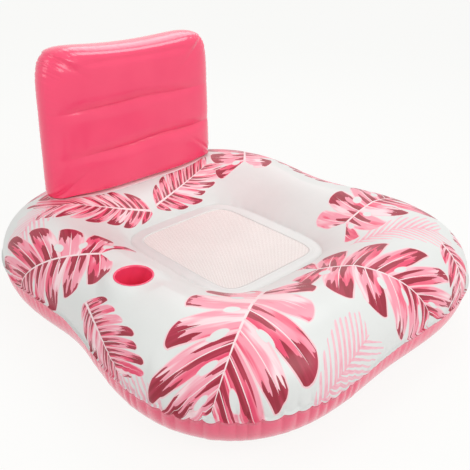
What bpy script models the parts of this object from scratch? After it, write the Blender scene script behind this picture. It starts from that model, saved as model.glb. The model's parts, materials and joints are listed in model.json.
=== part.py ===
"""Inflatable pool chair: a lobed ring with a net seat, a cup holder and a backrest that flexes at its foot.

Metres, +Z up. The origin is on the floor under the middle of the chair's box, and the chair faces -Y.
"""

import math

import bmesh
import bpy
from mathutils import Matrix, Vector

# Sheets, welds and running gaps
SHEET = 0.0005
GAP = 0.0003
MERGE_DISTANCE = 0.00001
REST_FLAT = 0.0005

# Ring, seen from above: the mean radius of its outer seam, then the waves that shape it
OUTER_RADIUS = 0.5269
OUTER_LENGTHENING = 0.0450
OUTER_REAR_REACH = 0.0116
OUTER_TAPER = 0.0228
OUTER_LOBES = 0.0415

# Crest of the ring, seen from above: how far it lies inside the outer seam's mean radius, and its waves
CREST_INSET = 0.1638
CREST_LENGTHENING = 0.0277
CREST_FORWARD = 0.0045
CREST_LOBES = 0.0369

# Inner seam and the net's opening, both rounded rectangles
SEAT_HALF_WIDTH = 0.1830
SEAT_HALF_LENGTH = 0.2069
SEAT_SETBACK = 0.0094
SEAT_CORNER_POWER = 4.5
OPENING_CORNER_POWER = 8.0
SEAT_BAND_WIDTH = 0.0370

# Ring, in section: half height of the tube at its reference width, and the heights of its two seams
TUBE_HALF_HEIGHT = 0.1173
TUBE_REFERENCE_WIDTH = 0.36
TUBE_SWELL_SHARE = 0.14
OUTER_FULLNESS_POWER = 0.93
INNER_FULLNESS_POWER = 1.55
OUTER_SEAM_HEIGHT = 0.1115
INNER_SEAM_HEIGHT = 0.1425
OUTER_LIP = 0.005
RING_COLUMNS = 56
DIAGONAL_CROWDING_SHARE = 0.35
TOP_ANGLES = (0, 18, 40, 64, 90, 114, 136, 158, 180)
BOTTOM_ANGLES = (0, -20, -44, -68, -85, -93, -116, -146, -180)

# Seat: a net held between the top sheet's band and a weld strip
NET_THICKNESS = 0.0008
NET_GAPS = 10
NET_BAR = 0.004
NET_SAG = 0.008
NET_BORDER_SHARE = 0.08
NET_ROUNDING_POWER = 6.0
LOWER_LIP_SHARE = 0.36
WELD_STRIP_OUTER_SHARE = 0.42
WELD_STRIP_INNER_SHARE = 0.86

# Cup holder on the sitter's right arm
CUP_ANGLE = math.radians(192.5)
CUP_TUBE_ANGLE = math.radians(81.0)
CUP_RADIUS = 0.038
CUP_DEPTH = 0.095
CUP_WALL = 0.001
CUP_RIM_WIDTH = 0.008
CUP_RIM_THICKNESS = 0.0008
CUP_FLOOR_LIP = 0.004
CUP_SEGMENTS = 32

# Backrest: an air cushion with two inner webs
BACKREST_WIDTH = 0.536
BACKREST_TOP_WIDTH = 0.514
BACKREST_HEIGHT = 0.358
BACKREST_DEPTH = 0.115
BACKREST_SETBACK = 0.030
BACKREST_TOP_DIP = 0.022
BACKREST_SEAM_BAND = 0.003
EDGE_ROUNDING_POWER = 6.0
TOP_CORNER_POWER = 6.0
FOOT_CORNER_POWER = 14.0
CREASE_DEPTH = 0.006
CREASE_REACH = 0.012
WEB_HEIGHTS = (0.096, 0.205)
WEB_END_MARGIN = 0.030
BACKREST_COLUMNS = 18
BACKREST_ROWS = 16
EDGE_CROWDING_SHARE = 0.6

# Foot of the backrest: a weld strip on the ring, and the rounded nose that rolls on it
FOOT_STRIP_LENGTH = 0.50
FOOT_STRIP_WIDTH = 0.016
FOOT_STRIP_RISE = 0.003
NOSE_RADIUS = 0.030
FLEX_ANGLE = math.radians(15.0)
FLEX_SPARE_ANGLE = math.radians(1.5)

# Air valves, one for each chamber
VALVE_SEGMENTS = 18
FLANGE_RADIUS = 0.016
FLANGE_THICKNESS = 0.0008
FLANGE_LIFT = 0.0006
SLEEVE_BORE = 0.0105
SLEEVE_WALL = 0.0008
SLEEVE_DEPTH = 0.016
LEDGE_REACH = 0.0025
LEDGE_THICKNESS = 0.0008
STEM_BASE_THICKNESS = 0.0012
STEM_RADIUS = 0.005
STEM_BORE = 0.0034
STEM_HEIGHT = 0.0115
CAP_RADIUS = 0.0075
CAP_THICKNESS = 0.002
PLUG_LENGTH = 0.007
COLLAR_WIDTH = 0.0016
COLLAR_THICKNESS = 0.001
STRAP_WIDTH = 0.003
STRAP_THICKNESS = 0.0009
FLAP_RADIUS = 0.0047
FLAP_THICKNESS = 0.0006
RING_VALVE_COLUMN_INDEX = 13
RING_VALVE_ROW_INDEX = 2
BACKREST_VALVE_COLUMN_INDEX = 13
BACKREST_VALVE_ROW_INDEX = 6

# Sizes worked out from the ones above
SEAM_LIFT = SHEET + GAP / 2
BAND_LIFT = NET_THICKNESS / 2 + GAP + SHEET
OPENING_HALF_WIDTH = SEAT_HALF_WIDTH - SEAT_BAND_WIDTH
OPENING_HALF_LENGTH = SEAT_HALF_LENGTH - SEAT_BAND_WIDTH
CUP_HOLE_RADIUS = CUP_RADIUS + CUP_WALL + GAP
SLEEVE_RADIUS = SLEEVE_BORE + SLEEVE_WALL
VALVE_HOLE_RADIUS = SLEEVE_RADIUS + GAP


def clear_scene():
    """Remove every object of the open scene."""
    for item in list(bpy.data.objects):
        bpy.data.objects.remove(item, do_unlink=True)


def new_collection(name):
    """Add a collection to the scene."""
    group = bpy.data.collections.new(name)
    bpy.context.scene.collection.children.link(group)
    return group


def new_material(name, colour, roughness, metallic=0.0):
    """Make a plain Principled material."""
    material = bpy.data.materials.new(name)
    material.use_nodes = True
    shader = material.node_tree.nodes["Principled BSDF"]
    shader.inputs["Base Color"].default_value = (*colour, 1.0)
    shader.inputs["Roughness"].default_value = roughness
    shader.inputs["Metallic"].default_value = metallic
    material.diffuse_color = (*colour, 1.0)
    return material


def add_piece(name, mesh, material, group, parent=None):
    """Put a mesh in the collection under its own name."""
    piece = bpy.data.objects.new(name, mesh)
    if material is not None:
        mesh.materials.append(material)
    group.objects.link(piece)
    piece.parent = parent
    return piece


def add_pivot(name, place, group):
    """Add an empty that carries moving pieces, with its place in the world."""
    pivot = bpy.data.objects.new(name, None)
    pivot.matrix_world = place
    group.objects.link(pivot)
    return pivot


def hang_on(piece, pivot):
    """Parent a piece that is modelled in the world's frame to a pivot that stands elsewhere."""
    piece.parent = pivot
    piece.matrix_parent_inverse = pivot.matrix_world.inverted()


def as_cutter(piece):
    """Keep a helper solid out of the model."""
    piece.hide_render = True
    piece.display_type = "WIRE"


def combine(piece, other, operation):
    """Cut or join a piece with another solid."""
    change = piece.modifiers.new(other.name, "BOOLEAN")
    change.operation = operation
    change.solver = "EXACT"
    change.object = other
    return change


def thicken(piece, thickness, offset=-1.0):
    """Give an open surface its wall, on the side that its faces point away from."""
    wall = piece.modifiers.new("Wall", "SOLIDIFY")
    wall.thickness = thickness
    wall.offset = offset
    wall.use_even_offset = True
    wall.use_rim = True
    return wall


def shade_round(mesh, angle=math.radians(40.0)):
    """Shade a mesh smooth, with its folds kept sharp."""
    mesh.shade_smooth()
    mesh.set_sharp_from_angle(angle=angle)


def mapped_grid(columns, rows, place, side, wrap=False):
    """Make a grid whose corners lie where place(column, row) says, with its faces turned to one side."""
    work = bmesh.new()
    bmesh.ops.create_grid(work, x_segments=columns, y_segments=rows, size=1.0)
    for corner in work.verts:
        column = round((corner.co.x + 1.0) / 2 * columns)
        row = round((corner.co.y + 1.0) / 2 * rows)
        corner.co = place(column, row)
    if wrap:
        bmesh.ops.remove_doubles(work, verts=work.verts, dist=MERGE_DISTANCE)
    work.normal_update()
    facing = sum((face.normal * face.calc_area() for face in work.faces), Vector())
    if facing.dot(side) < 0:
        bmesh.ops.reverse_faces(work, faces=work.faces)
    return work


def finish_mesh(name, work, smooth=True):
    """Turn a bmesh into a mesh."""
    mesh = bpy.data.meshes.new(name)
    work.to_mesh(mesh)
    work.free()
    if smooth:
        shade_round(mesh)
    return mesh


def turned(name, profile, material, group, parent, segments, closed=True):
    """Turn a profile of (radius, height) points about Z, its outer side listed from the top down."""
    count = len(profile)
    edges = [(index, index + 1) for index in range(count - 1)]
    if closed:
        edges.append((count - 1, 0))
    mesh = bpy.data.meshes.new(name)
    mesh.from_pydata([(radius, 0.0, height) for radius, height in profile], edges, [])
    piece = add_piece(name, mesh, material, group, parent)
    turn = piece.modifiers.new("Turn", "SCREW")
    turn.axis = "Z"
    turn.angle = math.tau
    turn.steps = turn.render_steps = segments
    turn.use_merge_vertices = True
    turn.merge_threshold = MERGE_DISTANCE
    turn.use_smooth_shade = True
    return piece


def rod(name, radius, bottom, top, group, parent=None, segments=CUP_SEGMENTS):
    """Make a plain upright cylinder between two heights."""
    work = bmesh.new()
    place = Matrix.Translation((0.0, 0.0, (bottom + top) / 2))
    bmesh.ops.create_cone(work, cap_ends=True, segments=segments, radius1=radius, radius2=radius,
                          depth=top - bottom, matrix=place)
    return add_piece(name, finish_mesh(name, work), None, group, parent)


def outer_radius(turn):
    """Radius of the ring's outer seam at a turn about Z from +X."""
    lengthening = -OUTER_LENGTHENING * math.cos(2 * turn)
    reach = OUTER_REAR_REACH * math.sin(turn)
    taper = -OUTER_TAPER * math.sin(3 * turn)
    lobes = -OUTER_LOBES * math.cos(4 * turn)
    return OUTER_RADIUS + lengthening + reach + taper + lobes


def crest_radius(turn):
    """Radius of the ring's crest at a turn about Z from +X."""
    lengthening = -CREST_LENGTHENING * math.cos(2 * turn)
    forward = -CREST_FORWARD * math.sin(turn)
    lobes = -CREST_LOBES * math.cos(4 * turn)
    return OUTER_RADIUS - CREST_INSET + lengthening + forward + lobes


def rounded_rectangle_radius(turn, half_width, half_length, power):
    """Radius of a rounded rectangle at a turn about its middle."""
    across = abs(math.cos(turn) / half_width) ** power
    along = abs(math.sin(turn) / half_length) ** power
    return (across + along) ** (-1 / power)


def seam_radius(turn):
    """Radius of the ring's inner seam at a turn about Z from +X."""
    return rounded_rectangle_radius(turn, SEAT_HALF_WIDTH, SEAT_HALF_LENGTH, SEAT_CORNER_POWER)


def opening_radius(turn):
    """Radius of the net's opening at a turn about Z from +X."""
    return rounded_rectangle_radius(turn, OPENING_HALF_WIDTH, OPENING_HALF_LENGTH, OPENING_CORNER_POWER)


def column_turn(column):
    """Turn about Z of one of the ring's columns of corners, which lie closer on the diagonals."""
    even = math.tau * (column % RING_COLUMNS) / RING_COLUMNS
    return even + DIAGONAL_CROWDING_SHARE / 4 * math.sin(4 * even)


def ring_middle():
    """Distance along Y by which the ring is moved, so that its box is centred."""
    turns = [column_turn(column) for column in range(RING_COLUMNS)]
    reaches = [(outer_radius(turn) + OUTER_LIP) * math.sin(turn) for turn in turns]
    return -(min(reaches) + max(reaches)) / 2


RING_MIDDLE = ring_middle()


def half_height(turn):
    """Half of the tube's height: a wider stretch of the tube also stands taller."""
    width = outer_radius(turn) - seam_radius(turn)
    return TUBE_HALF_HEIGHT * (1 + TUBE_SWELL_SHARE * (width / TUBE_REFERENCE_WIDTH - 1))


def fuller(value, power):
    """Raise a sine or cosine to a power and keep its sign."""
    return math.copysign(abs(value) ** power, value)


def ring_point(turn, angle):
    """Point of the ring's outside, at a turn about Z and an angle round the tube from its outer seam."""
    outward = math.cos(angle) > 0
    power = OUTER_FULLNESS_POWER if outward else INNER_FULLNESS_POWER
    across = fuller(math.cos(angle), power)
    rise = fuller(math.sin(angle), power)
    crest = crest_radius(turn)
    width = outer_radius(turn) - crest if outward else crest - seam_radius(turn)
    seam = OUTER_SEAM_HEIGHT if outward else INNER_SEAM_HEIGHT
    height = seam * (1 + rise)
    if rise > 0:
        height = seam + (2 * half_height(turn) - seam) * rise
    radius = crest + width * across
    shift = RING_MIDDLE - SEAT_SETBACK * min(across, 0.0)
    return Vector((radius * math.cos(turn), radius * math.sin(turn) + shift, max(height - REST_FLAT, 0.0)))


def seat_point(turn, share, height):
    """Point of the seat's flat band, at a share of the way from the inner seam to the net's opening."""
    radius = seam_radius(turn) + (opening_radius(turn) - seam_radius(turn)) * share
    return Vector((radius * math.cos(turn), radius * math.sin(turn) + SEAT_SETBACK + RING_MIDDLE, height))


def top_sheet_point(column, row):
    """Corner of the top sheet: the outer lip, the tube's upper side, then the band round the net."""
    turn = column_turn(column)
    last = len(TOP_ANGLES) - 1
    if row > last:
        return seat_point(turn, min(row - last - 1, 1), INNER_SEAM_HEIGHT + BAND_LIFT)
    angle = math.radians(TOP_ANGLES[max(row - 1, 0)])
    lip = Vector((math.cos(turn), math.sin(turn), 0.0)) * (OUTER_LIP if row == 0 else 0.0)
    return ring_point(turn, angle) + lip + Vector((0.0, 0.0, SEAM_LIFT + REST_FLAT))


def bottom_sheet_point(column, row):
    """Corner of the bottom sheet: the outer lip, the tube's underside, then the inner lip."""
    turn = column_turn(column)
    last = len(BOTTOM_ANGLES) - 1
    if row > last:
        share = LOWER_LIP_SHARE * min(row - last - 1, 1)
        return seat_point(turn, share, INNER_SEAM_HEIGHT - BAND_LIFT)
    point = ring_point(turn, math.radians(BOTTOM_ANGLES[max(row - 1, 0)]))
    if row <= 1:
        point.z = OUTER_SEAM_HEIGHT - SEAM_LIFT
    if row == 0:
        point += Vector((math.cos(turn), math.sin(turn), 0.0)) * OUTER_LIP
    return point


def top_sheet_grid():
    """Outside of the ring's top sheet, as an open grid."""
    rows = len(TOP_ANGLES) + 1
    return mapped_grid(RING_COLUMNS, rows, top_sheet_point, Vector((0.0, 0.0, 1.0)), wrap=True)


def top_sheet_patch(low, high, lift=0.0):
    """Part of the top sheet's outside that lies over a rectangle, raised by a small lift."""
    patch = top_sheet_grid()
    cuts = ((Vector((high.x, 0.0, 0.0)), Vector((1.0, 0.0, 0.0))),
            (Vector((low.x, 0.0, 0.0)), Vector((-1.0, 0.0, 0.0))),
            (Vector((0.0, high.y, 0.0)), Vector((0.0, 1.0, 0.0))),
            (Vector((0.0, low.y, 0.0)), Vector((0.0, -1.0, 0.0))))
    for point, away in cuts:
        whole = patch.verts[:] + patch.edges[:] + patch.faces[:]
        bmesh.ops.bisect_plane(patch, geom=whole, plane_co=point, plane_no=away, clear_outer=True,
                               dist=MERGE_DISTANCE)
    bmesh.ops.translate(patch, verts=patch.verts, vec=(0.0, 0.0, lift))
    return patch


def raise_patch(patch, height):
    """Close a patch into a solid that reaches up from it to a level top."""
    grown = bmesh.ops.extrude_face_region(patch, geom=patch.faces[:])
    for item in grown["geom"]:
        if isinstance(item, bmesh.types.BMVert):
            item.co.z = height
    bmesh.ops.recalc_face_normals(patch, faces=patch.faces)
    return patch


def build_ring_top(group, material):
    """Printed top sheet of the ring, with its weld lips."""
    mesh = finish_mesh("ring_top_sheet", top_sheet_grid())
    piece = add_piece("ring_top_sheet", mesh, material, group)
    thicken(piece, SHEET)
    return piece


def build_ring_bottom(group, material):
    """Plain bottom sheet of the ring, flat where it rests."""
    rows = len(BOTTOM_ANGLES) + 1
    work = mapped_grid(RING_COLUMNS, rows, bottom_sheet_point, Vector((0.0, 0.0, -1.0)), wrap=True)
    piece = add_piece("ring_bottom_sheet", finish_mesh("ring_bottom_sheet", work), material, group)
    thicken(piece, SHEET)
    return piece


def build_weld_strip(group, material):
    """Flat strip under the net, welded through it to the band above."""
    def place(column, row):
        share = WELD_STRIP_OUTER_SHARE + (WELD_STRIP_INNER_SHARE - WELD_STRIP_OUTER_SHARE) * row
        return seat_point(column_turn(column), share, INNER_SEAM_HEIGHT - BAND_LIFT)

    work = mapped_grid(RING_COLUMNS, 1, place, Vector((0.0, 0.0, -1.0)), wrap=True)
    piece = add_piece("seat_weld_strip", finish_mesh("seat_weld_strip", work), material, group)
    thicken(piece, SHEET)
    return piece


def net_point(column, row):
    """Corner of the net: its border's edge, or its open part, rounded at the corners and sagging."""
    across = min(max(column - 1, 0), NET_GAPS) / NET_GAPS * 2 - 1
    along = min(max(row - 1, 0), NET_GAPS) / NET_GAPS * 2 - 1
    turn = math.atan2(along * OPENING_HALF_LENGTH, across * OPENING_HALF_WIDTH)
    if column in (0, NET_GAPS + 2) or row in (0, NET_GAPS + 2):
        return seat_point(turn, NET_BORDER_SHARE, INNER_SEAM_HEIGHT)
    reach = max(abs(across), abs(along))
    point = Vector((across * OPENING_HALF_WIDTH, along * OPENING_HALF_LENGTH, 0.0))
    if reach > 0:
        pull = opening_radius(turn) * reach / point.length - 1
        point *= 1 + pull * reach ** NET_ROUNDING_POWER
    sag = NET_SAG * (1 - reach ** 2)
    return point + Vector((0.0, SEAT_SETBACK + RING_MIDDLE, INNER_SEAM_HEIGHT - sag))


def build_seat_net(group, material):
    """Woven net of the seat: a plain border between the sheets, and open gaps that sag a little."""
    cells = NET_GAPS + 2
    work = mapped_grid(cells, cells, net_point, Vector((0.0, 0.0, 1.0)), wrap=True)
    inner = [face for face in work.faces if not any(edge.is_boundary for edge in face.edges)]
    inner = [face for face in inner if len(face.verts) == 4]
    bmesh.ops.inset_individual(work, faces=inner, thickness=NET_BAR / 2, use_even_offset=True)
    bmesh.ops.delete(work, geom=inner, context="FACES_ONLY")
    piece = add_piece("seat_net", finish_mesh("seat_net", work, smooth=False), material, group)
    thicken(piece, NET_THICKNESS, offset=0.0)
    return piece


def cup_centre():
    """Middle of the cup holder's mouth, on top of the arm."""
    return ring_point(CUP_ANGLE, CUP_TUBE_ANGLE) + Vector((0.0, 0.0, SEAM_LIFT + REST_FLAT))


def cup_patch(lift):
    """Ring surface round the cup holder, raised by a lift."""
    centre = cup_centre()
    reach = CUP_HOLE_RADIUS + CUP_RIM_WIDTH + CUP_WALL
    half = Vector((reach, reach, 0.0))
    return top_sheet_patch(centre - half, centre + half, lift)


def build_cup_holder(top_sheet, group, helpers, wall_material, rim_material):
    """Cup holder: a weld rim on the ring, the well that hangs from it and the well's floor."""
    centre = cup_centre()
    stand = add_pivot("cup_axis", Matrix.Translation(centre), group)
    reach = CUP_HOLE_RADIUS + CUP_RIM_WIDTH
    hole = rod("cup_hole", CUP_HOLE_RADIUS, -reach, reach, helpers, stand)
    as_cutter(hole)
    combine(top_sheet, hole, "DIFFERENCE")

    over_mesh = finish_mesh("cup_over", raise_patch(cup_patch(0.0), centre.z + reach))
    over = add_piece("cup_over", over_mesh, None, helpers)
    as_cutter(over)
    outer = CUP_RADIUS + CUP_WALL
    well = turned("cup_well", [(outer, reach / 2), (outer, -CUP_DEPTH),
                               (CUP_RADIUS, -CUP_DEPTH), (CUP_RADIUS, reach / 2)],
                  wall_material, group, stand, CUP_SEGMENTS)
    combine(well, over, "DIFFERENCE")

    rim_outer = rod("cup_rim_outer", reach, -reach, reach, helpers, stand)
    rim_inner = rod("cup_rim_inner", CUP_RADIUS, -reach, reach, helpers, stand)
    rim = add_piece("cup_rim", finish_mesh("cup_rim", cup_patch(GAP)), rim_material, group)
    thicken(rim, CUP_RIM_THICKNESS, offset=1.0)
    for cutter, operation in ((rim_outer, "INTERSECT"), (rim_inner, "DIFFERENCE")):
        as_cutter(cutter)
        combine(rim, cutter, operation)

    floor_top = -CUP_DEPTH - GAP
    floor_radius = outer + GAP
    turned("cup_floor", [(0.0, floor_top), (floor_radius, floor_top),
                         (floor_radius, floor_top + CUP_FLOOR_LIP),
                         (floor_radius + CUP_WALL, floor_top + CUP_FLOOR_LIP),
                         (floor_radius + CUP_WALL, floor_top - CUP_WALL), (0.0, floor_top - CUP_WALL)],
           wall_material, group, stand, CUP_SEGMENTS, closed=False)


def backrest_plane():
    """Distance along Y of the backrest's middle plane, just behind the ring's rear crest."""
    return ring_point(math.pi / 2, math.pi / 2).y + BACKREST_SETBACK


def foot_patch():
    """Ring surface under the backrest's foot strip."""
    middle = Vector((0.0, backrest_plane(), 0.0))
    half = Vector((FOOT_STRIP_LENGTH / 2, FOOT_STRIP_WIDTH / 2, 0.0))
    return top_sheet_patch(middle - half, middle + half, GAP)


def foot_height():
    """Height of the foot strip's level top."""
    patch = foot_patch()
    highest = max(corner.co.z for corner in patch.verts)
    patch.free()
    return highest + FOOT_STRIP_RISE


def build_foot_strip(group, material):
    """Weld strip that joins the backrest's foot to the ring."""
    work = raise_patch(foot_patch(), foot_height())
    add_piece("backrest_foot_strip", finish_mesh("backrest_foot_strip", work, smooth=False), material, group)


def crowded_stations(count, pinned=()):
    """Stations from -1 to 1 that lie closer near both ends, the nearest moved onto each pinned one."""
    stations = []
    for index in range(count + 1):
        share = index / count * 2 - 1
        curved = math.sin(math.pi / 2 * share)
        stations.append(share * (1 - EDGE_CROWDING_SHARE) + curved * EDGE_CROWDING_SHARE)
    for value in pinned:
        nearest = min(range(1, count), key=lambda index: abs(stations[index] - value))
        stations[nearest] = value
    return stations


def nose_lift(depth):
    """Height of the backrest's underside above its foot line, at a depth from its middle plane."""
    limit = FLEX_ANGLE + FLEX_SPARE_ANGLE
    reach = NOSE_RADIUS * math.sin(limit)
    if depth <= reach:
        return NOSE_RADIUS - math.sqrt(NOSE_RADIUS ** 2 - depth ** 2)
    return NOSE_RADIUS * (1 - math.cos(limit)) + (depth - reach) * math.tan(limit)


def cushion_point(across, along, foot):
    """Point of the backrest's front half as (x, depth, z), from its place on a square of -1 to 1."""
    reach = max(abs(across), abs(along))
    corner_power = TOP_CORNER_POWER if along > 0 else FOOT_CORNER_POWER
    square = (abs(across) ** corner_power + abs(along) ** corner_power) ** (1 / corner_power)
    pull = reach / square if reach > 0 else 1.0
    half = BACKREST_HEIGHT / 2
    side = across * pull
    rise = along * pull
    upper = max(rise, 0.0)
    width = BACKREST_WIDTH + (BACKREST_TOP_WIDTH - BACKREST_WIDTH) * (rise + 1) / 2
    height = half * (1 + rise) - BACKREST_TOP_DIP * upper ** 2 * (1 - side ** 2)
    fullness = math.sqrt(max(1 - reach ** EDGE_ROUNDING_POWER, 0.0))
    crease = sum(math.exp(-((height - web) / CREASE_REACH) ** 2) for web in WEB_HEIGHTS)
    room = BACKREST_DEPTH / 2 - BACKREST_SEAM_BAND
    depth = BACKREST_SEAM_BAND + room * fullness - CREASE_DEPTH * crease * fullness
    lifted = max(height, nose_lift(depth))
    return Vector((side * width / 2, depth, foot + lifted))


def web_stations():
    """Places along the cushion's height where a web meets its sheets."""
    return [web / (BACKREST_HEIGHT / 2) - 1 for web in WEB_HEIGHTS]


def build_backrest_sheet(name, side, foot, group, material):
    """Front or rear sheet of the backrest, from its middle seam to its face."""
    columns = crowded_stations(BACKREST_COLUMNS)
    rows = crowded_stations(BACKREST_ROWS, web_stations())
    plane = backrest_plane()

    def place(column, row):
        point = cushion_point(columns[column], rows[row], foot)
        return Vector((point.x, plane + side * point.y, point.z))

    work = mapped_grid(BACKREST_COLUMNS, BACKREST_ROWS, place, Vector((0.0, side, 0.0)))
    edge = [item for item in work.edges if item.is_boundary]
    seam = bmesh.ops.extrude_edge_only(work, edges=edge)
    for item in seam["geom"]:
        if isinstance(item, bmesh.types.BMVert):
            item.co.y = plane + side * GAP / 2
    work.normal_update()
    piece = add_piece(name, finish_mesh(name, work), material, group)
    thicken(piece, SHEET)
    return piece


def build_backrest_web(name, web, foot, group, material):
    """Level web inside the backrest, which draws its two sheets together along a crease."""
    along = web / (BACKREST_HEIGHT / 2) - 1
    columns = [value for value in crowded_stations(BACKREST_COLUMNS)
               if abs(value) * BACKREST_WIDTH / 2 < BACKREST_WIDTH / 2 - WEB_END_MARGIN]
    plane = backrest_plane()
    edge = []
    for value in columns:
        point = cushion_point(value, along, foot)
        edge.append((point.x, point.y - SHEET - 2 * GAP))
    outline = [(x, plane - depth) for x, depth in edge] + [(x, plane + depth) for x, depth in reversed(edge)]
    curve = bpy.data.curves.new(name, "CURVE")
    curve.dimensions = "2D"
    curve.fill_mode = "BOTH"
    curve.extrude = SHEET / 2
    spline = curve.splines.new("POLY")
    spline.points.add(len(outline) - 1)
    for point, (x, y) in zip(spline.points, outline):
        point.co = (x, y, 0.0, 1.0)
    spline.use_cyclic_u = True
    curve.materials.append(material)
    piece = bpy.data.objects.new(name, curve)
    piece.location.z = foot + web
    group.objects.link(piece)
    return piece


def facet_frame(corners, lift):
    """Frame on a four-sided facet, with Z along its normal, raised by a lift."""
    middle = sum(corners, Vector()) / len(corners)
    normal = (corners[2] - corners[0]).cross(corners[3] - corners[1]).normalized()
    return middle, normal, lift


def frame_matrix(middle, normal, lift):
    """World matrix of a frame whose Z follows a normal."""
    turn = normal.to_track_quat("Z", "Y").to_matrix().to_4x4()
    return Matrix.Translation(middle + normal * lift) @ turn


def ring_valve_frame():
    """Frame of the ring's valve, on one facet of the rear outer slope."""
    column = RING_VALVE_COLUMN_INDEX
    row = RING_VALVE_ROW_INDEX
    corners = [top_sheet_point(column, row), top_sheet_point(column + 1, row),
               top_sheet_point(column + 1, row + 1), top_sheet_point(column, row + 1)]
    return frame_matrix(*facet_frame(corners, FLANGE_LIFT))


def backrest_valve_frame(foot):
    """Frame of the backrest's valve, on its rear face."""
    column = BACKREST_VALVE_COLUMN_INDEX
    row = BACKREST_VALVE_ROW_INDEX
    west, east = crowded_stations(BACKREST_COLUMNS)[column:column + 2]
    low, high = crowded_stations(BACKREST_ROWS, web_stations())[row:row + 2]
    corners = []
    for across, along in ((west, low), (west, high), (east, high), (east, low)):
        point = cushion_point(across, along, foot)
        corners.append(Vector((point.x, backrest_plane() + point.y, point.z)))
    return frame_matrix(*facet_frame(corners, FLANGE_LIFT))


def build_valve_seat(name, sheet, pivot, group, helpers, material):
    """Flange welded on the sheet, with the sleeve and ledge that carry the stem."""
    hole = rod(name + "_hole", VALVE_HOLE_RADIUS, -SLEEVE_DEPTH, SLEEVE_DEPTH, helpers, pivot,
               VALVE_SEGMENTS)
    as_cutter(hole)
    combine(sheet, hole, "DIFFERENCE")
    ledge_bore = SLEEVE_BORE - LEDGE_REACH
    ledge_top = LEDGE_THICKNESS - SLEEVE_DEPTH
    profile = [(SLEEVE_BORE, FLANGE_THICKNESS), (FLANGE_RADIUS, FLANGE_THICKNESS), (FLANGE_RADIUS, 0.0),
               (SLEEVE_RADIUS, 0.0), (SLEEVE_RADIUS, -SLEEVE_DEPTH), (ledge_bore, -SLEEVE_DEPTH),
               (ledge_bore, ledge_top), (SLEEVE_BORE, ledge_top)]
    turned(name + "_flange", profile, material, group, pivot, VALVE_SEGMENTS)


def build_valve_stem(name, pivot, group, material):
    """Hollow stem with the base disc that slides in the sleeve."""
    base = stem_base_height()
    base_top = base + STEM_BASE_THICKNESS
    stem_top = base_top + STEM_HEIGHT
    turned(name + "_stem", [(STEM_BORE, stem_top), (STEM_RADIUS, stem_top), (STEM_RADIUS, base_top),
                            (SLEEVE_BORE - GAP, base_top), (SLEEVE_BORE - GAP, base), (STEM_BORE, base)],
           material, group, pivot, VALVE_SEGMENTS)


def stem_base_height():
    """Height of the stem base's underside, resting just clear of the sleeve's ledge."""
    return LEDGE_THICKNESS - SLEEVE_DEPTH + GAP


def cap_height():
    """Height of the cap head's underside, just clear of the stem's top."""
    return stem_base_height() + STEM_BASE_THICKNESS + STEM_HEIGHT + GAP


def build_valve_cap(name, pivot, group, material):
    """Cap whose plug closes the stem's bore."""
    under = cap_height()
    plug = STEM_BORE - GAP
    turned(name + "_cap", [(0.0, under + CAP_THICKNESS), (CAP_RADIUS, under + CAP_THICKNESS),
                           (CAP_RADIUS, under), (plug, under), (plug, under - PLUG_LENGTH),
                           (0.0, under - PLUG_LENGTH)],
           material, group, pivot, VALVE_SEGMENTS, closed=False)


def collar_profile(top):
    """Section of a collar round the stem."""
    inner = STEM_RADIUS + GAP
    outer = inner + COLLAR_WIDTH
    return [(inner, top), (outer, top), (outer, top - COLLAR_THICKNESS), (inner, top - COLLAR_THICKNESS)]


def build_valve_tether(name, pivot, group, helpers, material):
    """Tether that keeps the cap: a collar on the stem and one under the cap, joined by a strap."""
    low_top = stem_base_height() + STEM_BASE_THICKNESS + GAP + COLLAR_THICKNESS
    high_top = cap_height() - GAP
    tether = turned(name + "_tether", collar_profile(low_top), material, group, pivot, VALVE_SEGMENTS)
    high = turned(name + "_high_collar", collar_profile(high_top), None, helpers, pivot, VALVE_SEGMENTS)
    as_cutter(high)
    combine(tether, high, "UNION")
    work = bmesh.new()
    bottom = low_top - COLLAR_THICKNESS
    near = STEM_RADIUS + GAP + COLLAR_WIDTH / 2
    far = STEM_RADIUS + GAP + COLLAR_WIDTH + STRAP_THICKNESS
    size = Matrix.Diagonal((far - near, STRAP_WIDTH, high_top - bottom, 1.0))
    place = Matrix.Translation(((near + far) / 2, 0.0, (bottom + high_top) / 2))
    bmesh.ops.create_cube(work, size=1.0, matrix=place @ size)
    strap_mesh = finish_mesh(name + "_strap", work, smooth=False)
    strap = add_piece(name + "_strap", strap_mesh, None, helpers, pivot)
    as_cutter(strap)
    combine(tether, strap, "UNION")


def build_valve_flap(name, pivot, group, material):
    """Non-return flap under the stem's bore, with its origin on its hinge line."""
    top = stem_base_height() - GAP
    work = bmesh.new()
    place = Matrix.Translation((FLAP_RADIUS, 0.0, -FLAP_THICKNESS / 2))
    bmesh.ops.create_cone(work, cap_ends=True, segments=VALVE_SEGMENTS, radius1=FLAP_RADIUS,
                          radius2=FLAP_RADIUS, depth=FLAP_THICKNESS, matrix=place)
    flap = add_piece(name + "_flap", finish_mesh(name + "_flap", work), material, group, pivot)
    flap.location = (-FLAP_RADIUS, 0.0, top)


def build_valve(name, sheet, frame, group, helpers, clear_vinyl):
    """All pieces of one air valve, round its own axis."""
    pivot = add_pivot(name + "_axis", frame, group)
    build_valve_seat(name, sheet, pivot, group, helpers, clear_vinyl)
    build_valve_stem(name, pivot, group, clear_vinyl)
    build_valve_cap(name, pivot, group, clear_vinyl)
    build_valve_tether(name, pivot, group, helpers, clear_vinyl)
    build_valve_flap(name, pivot, group, clear_vinyl)
    return pivot


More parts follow.
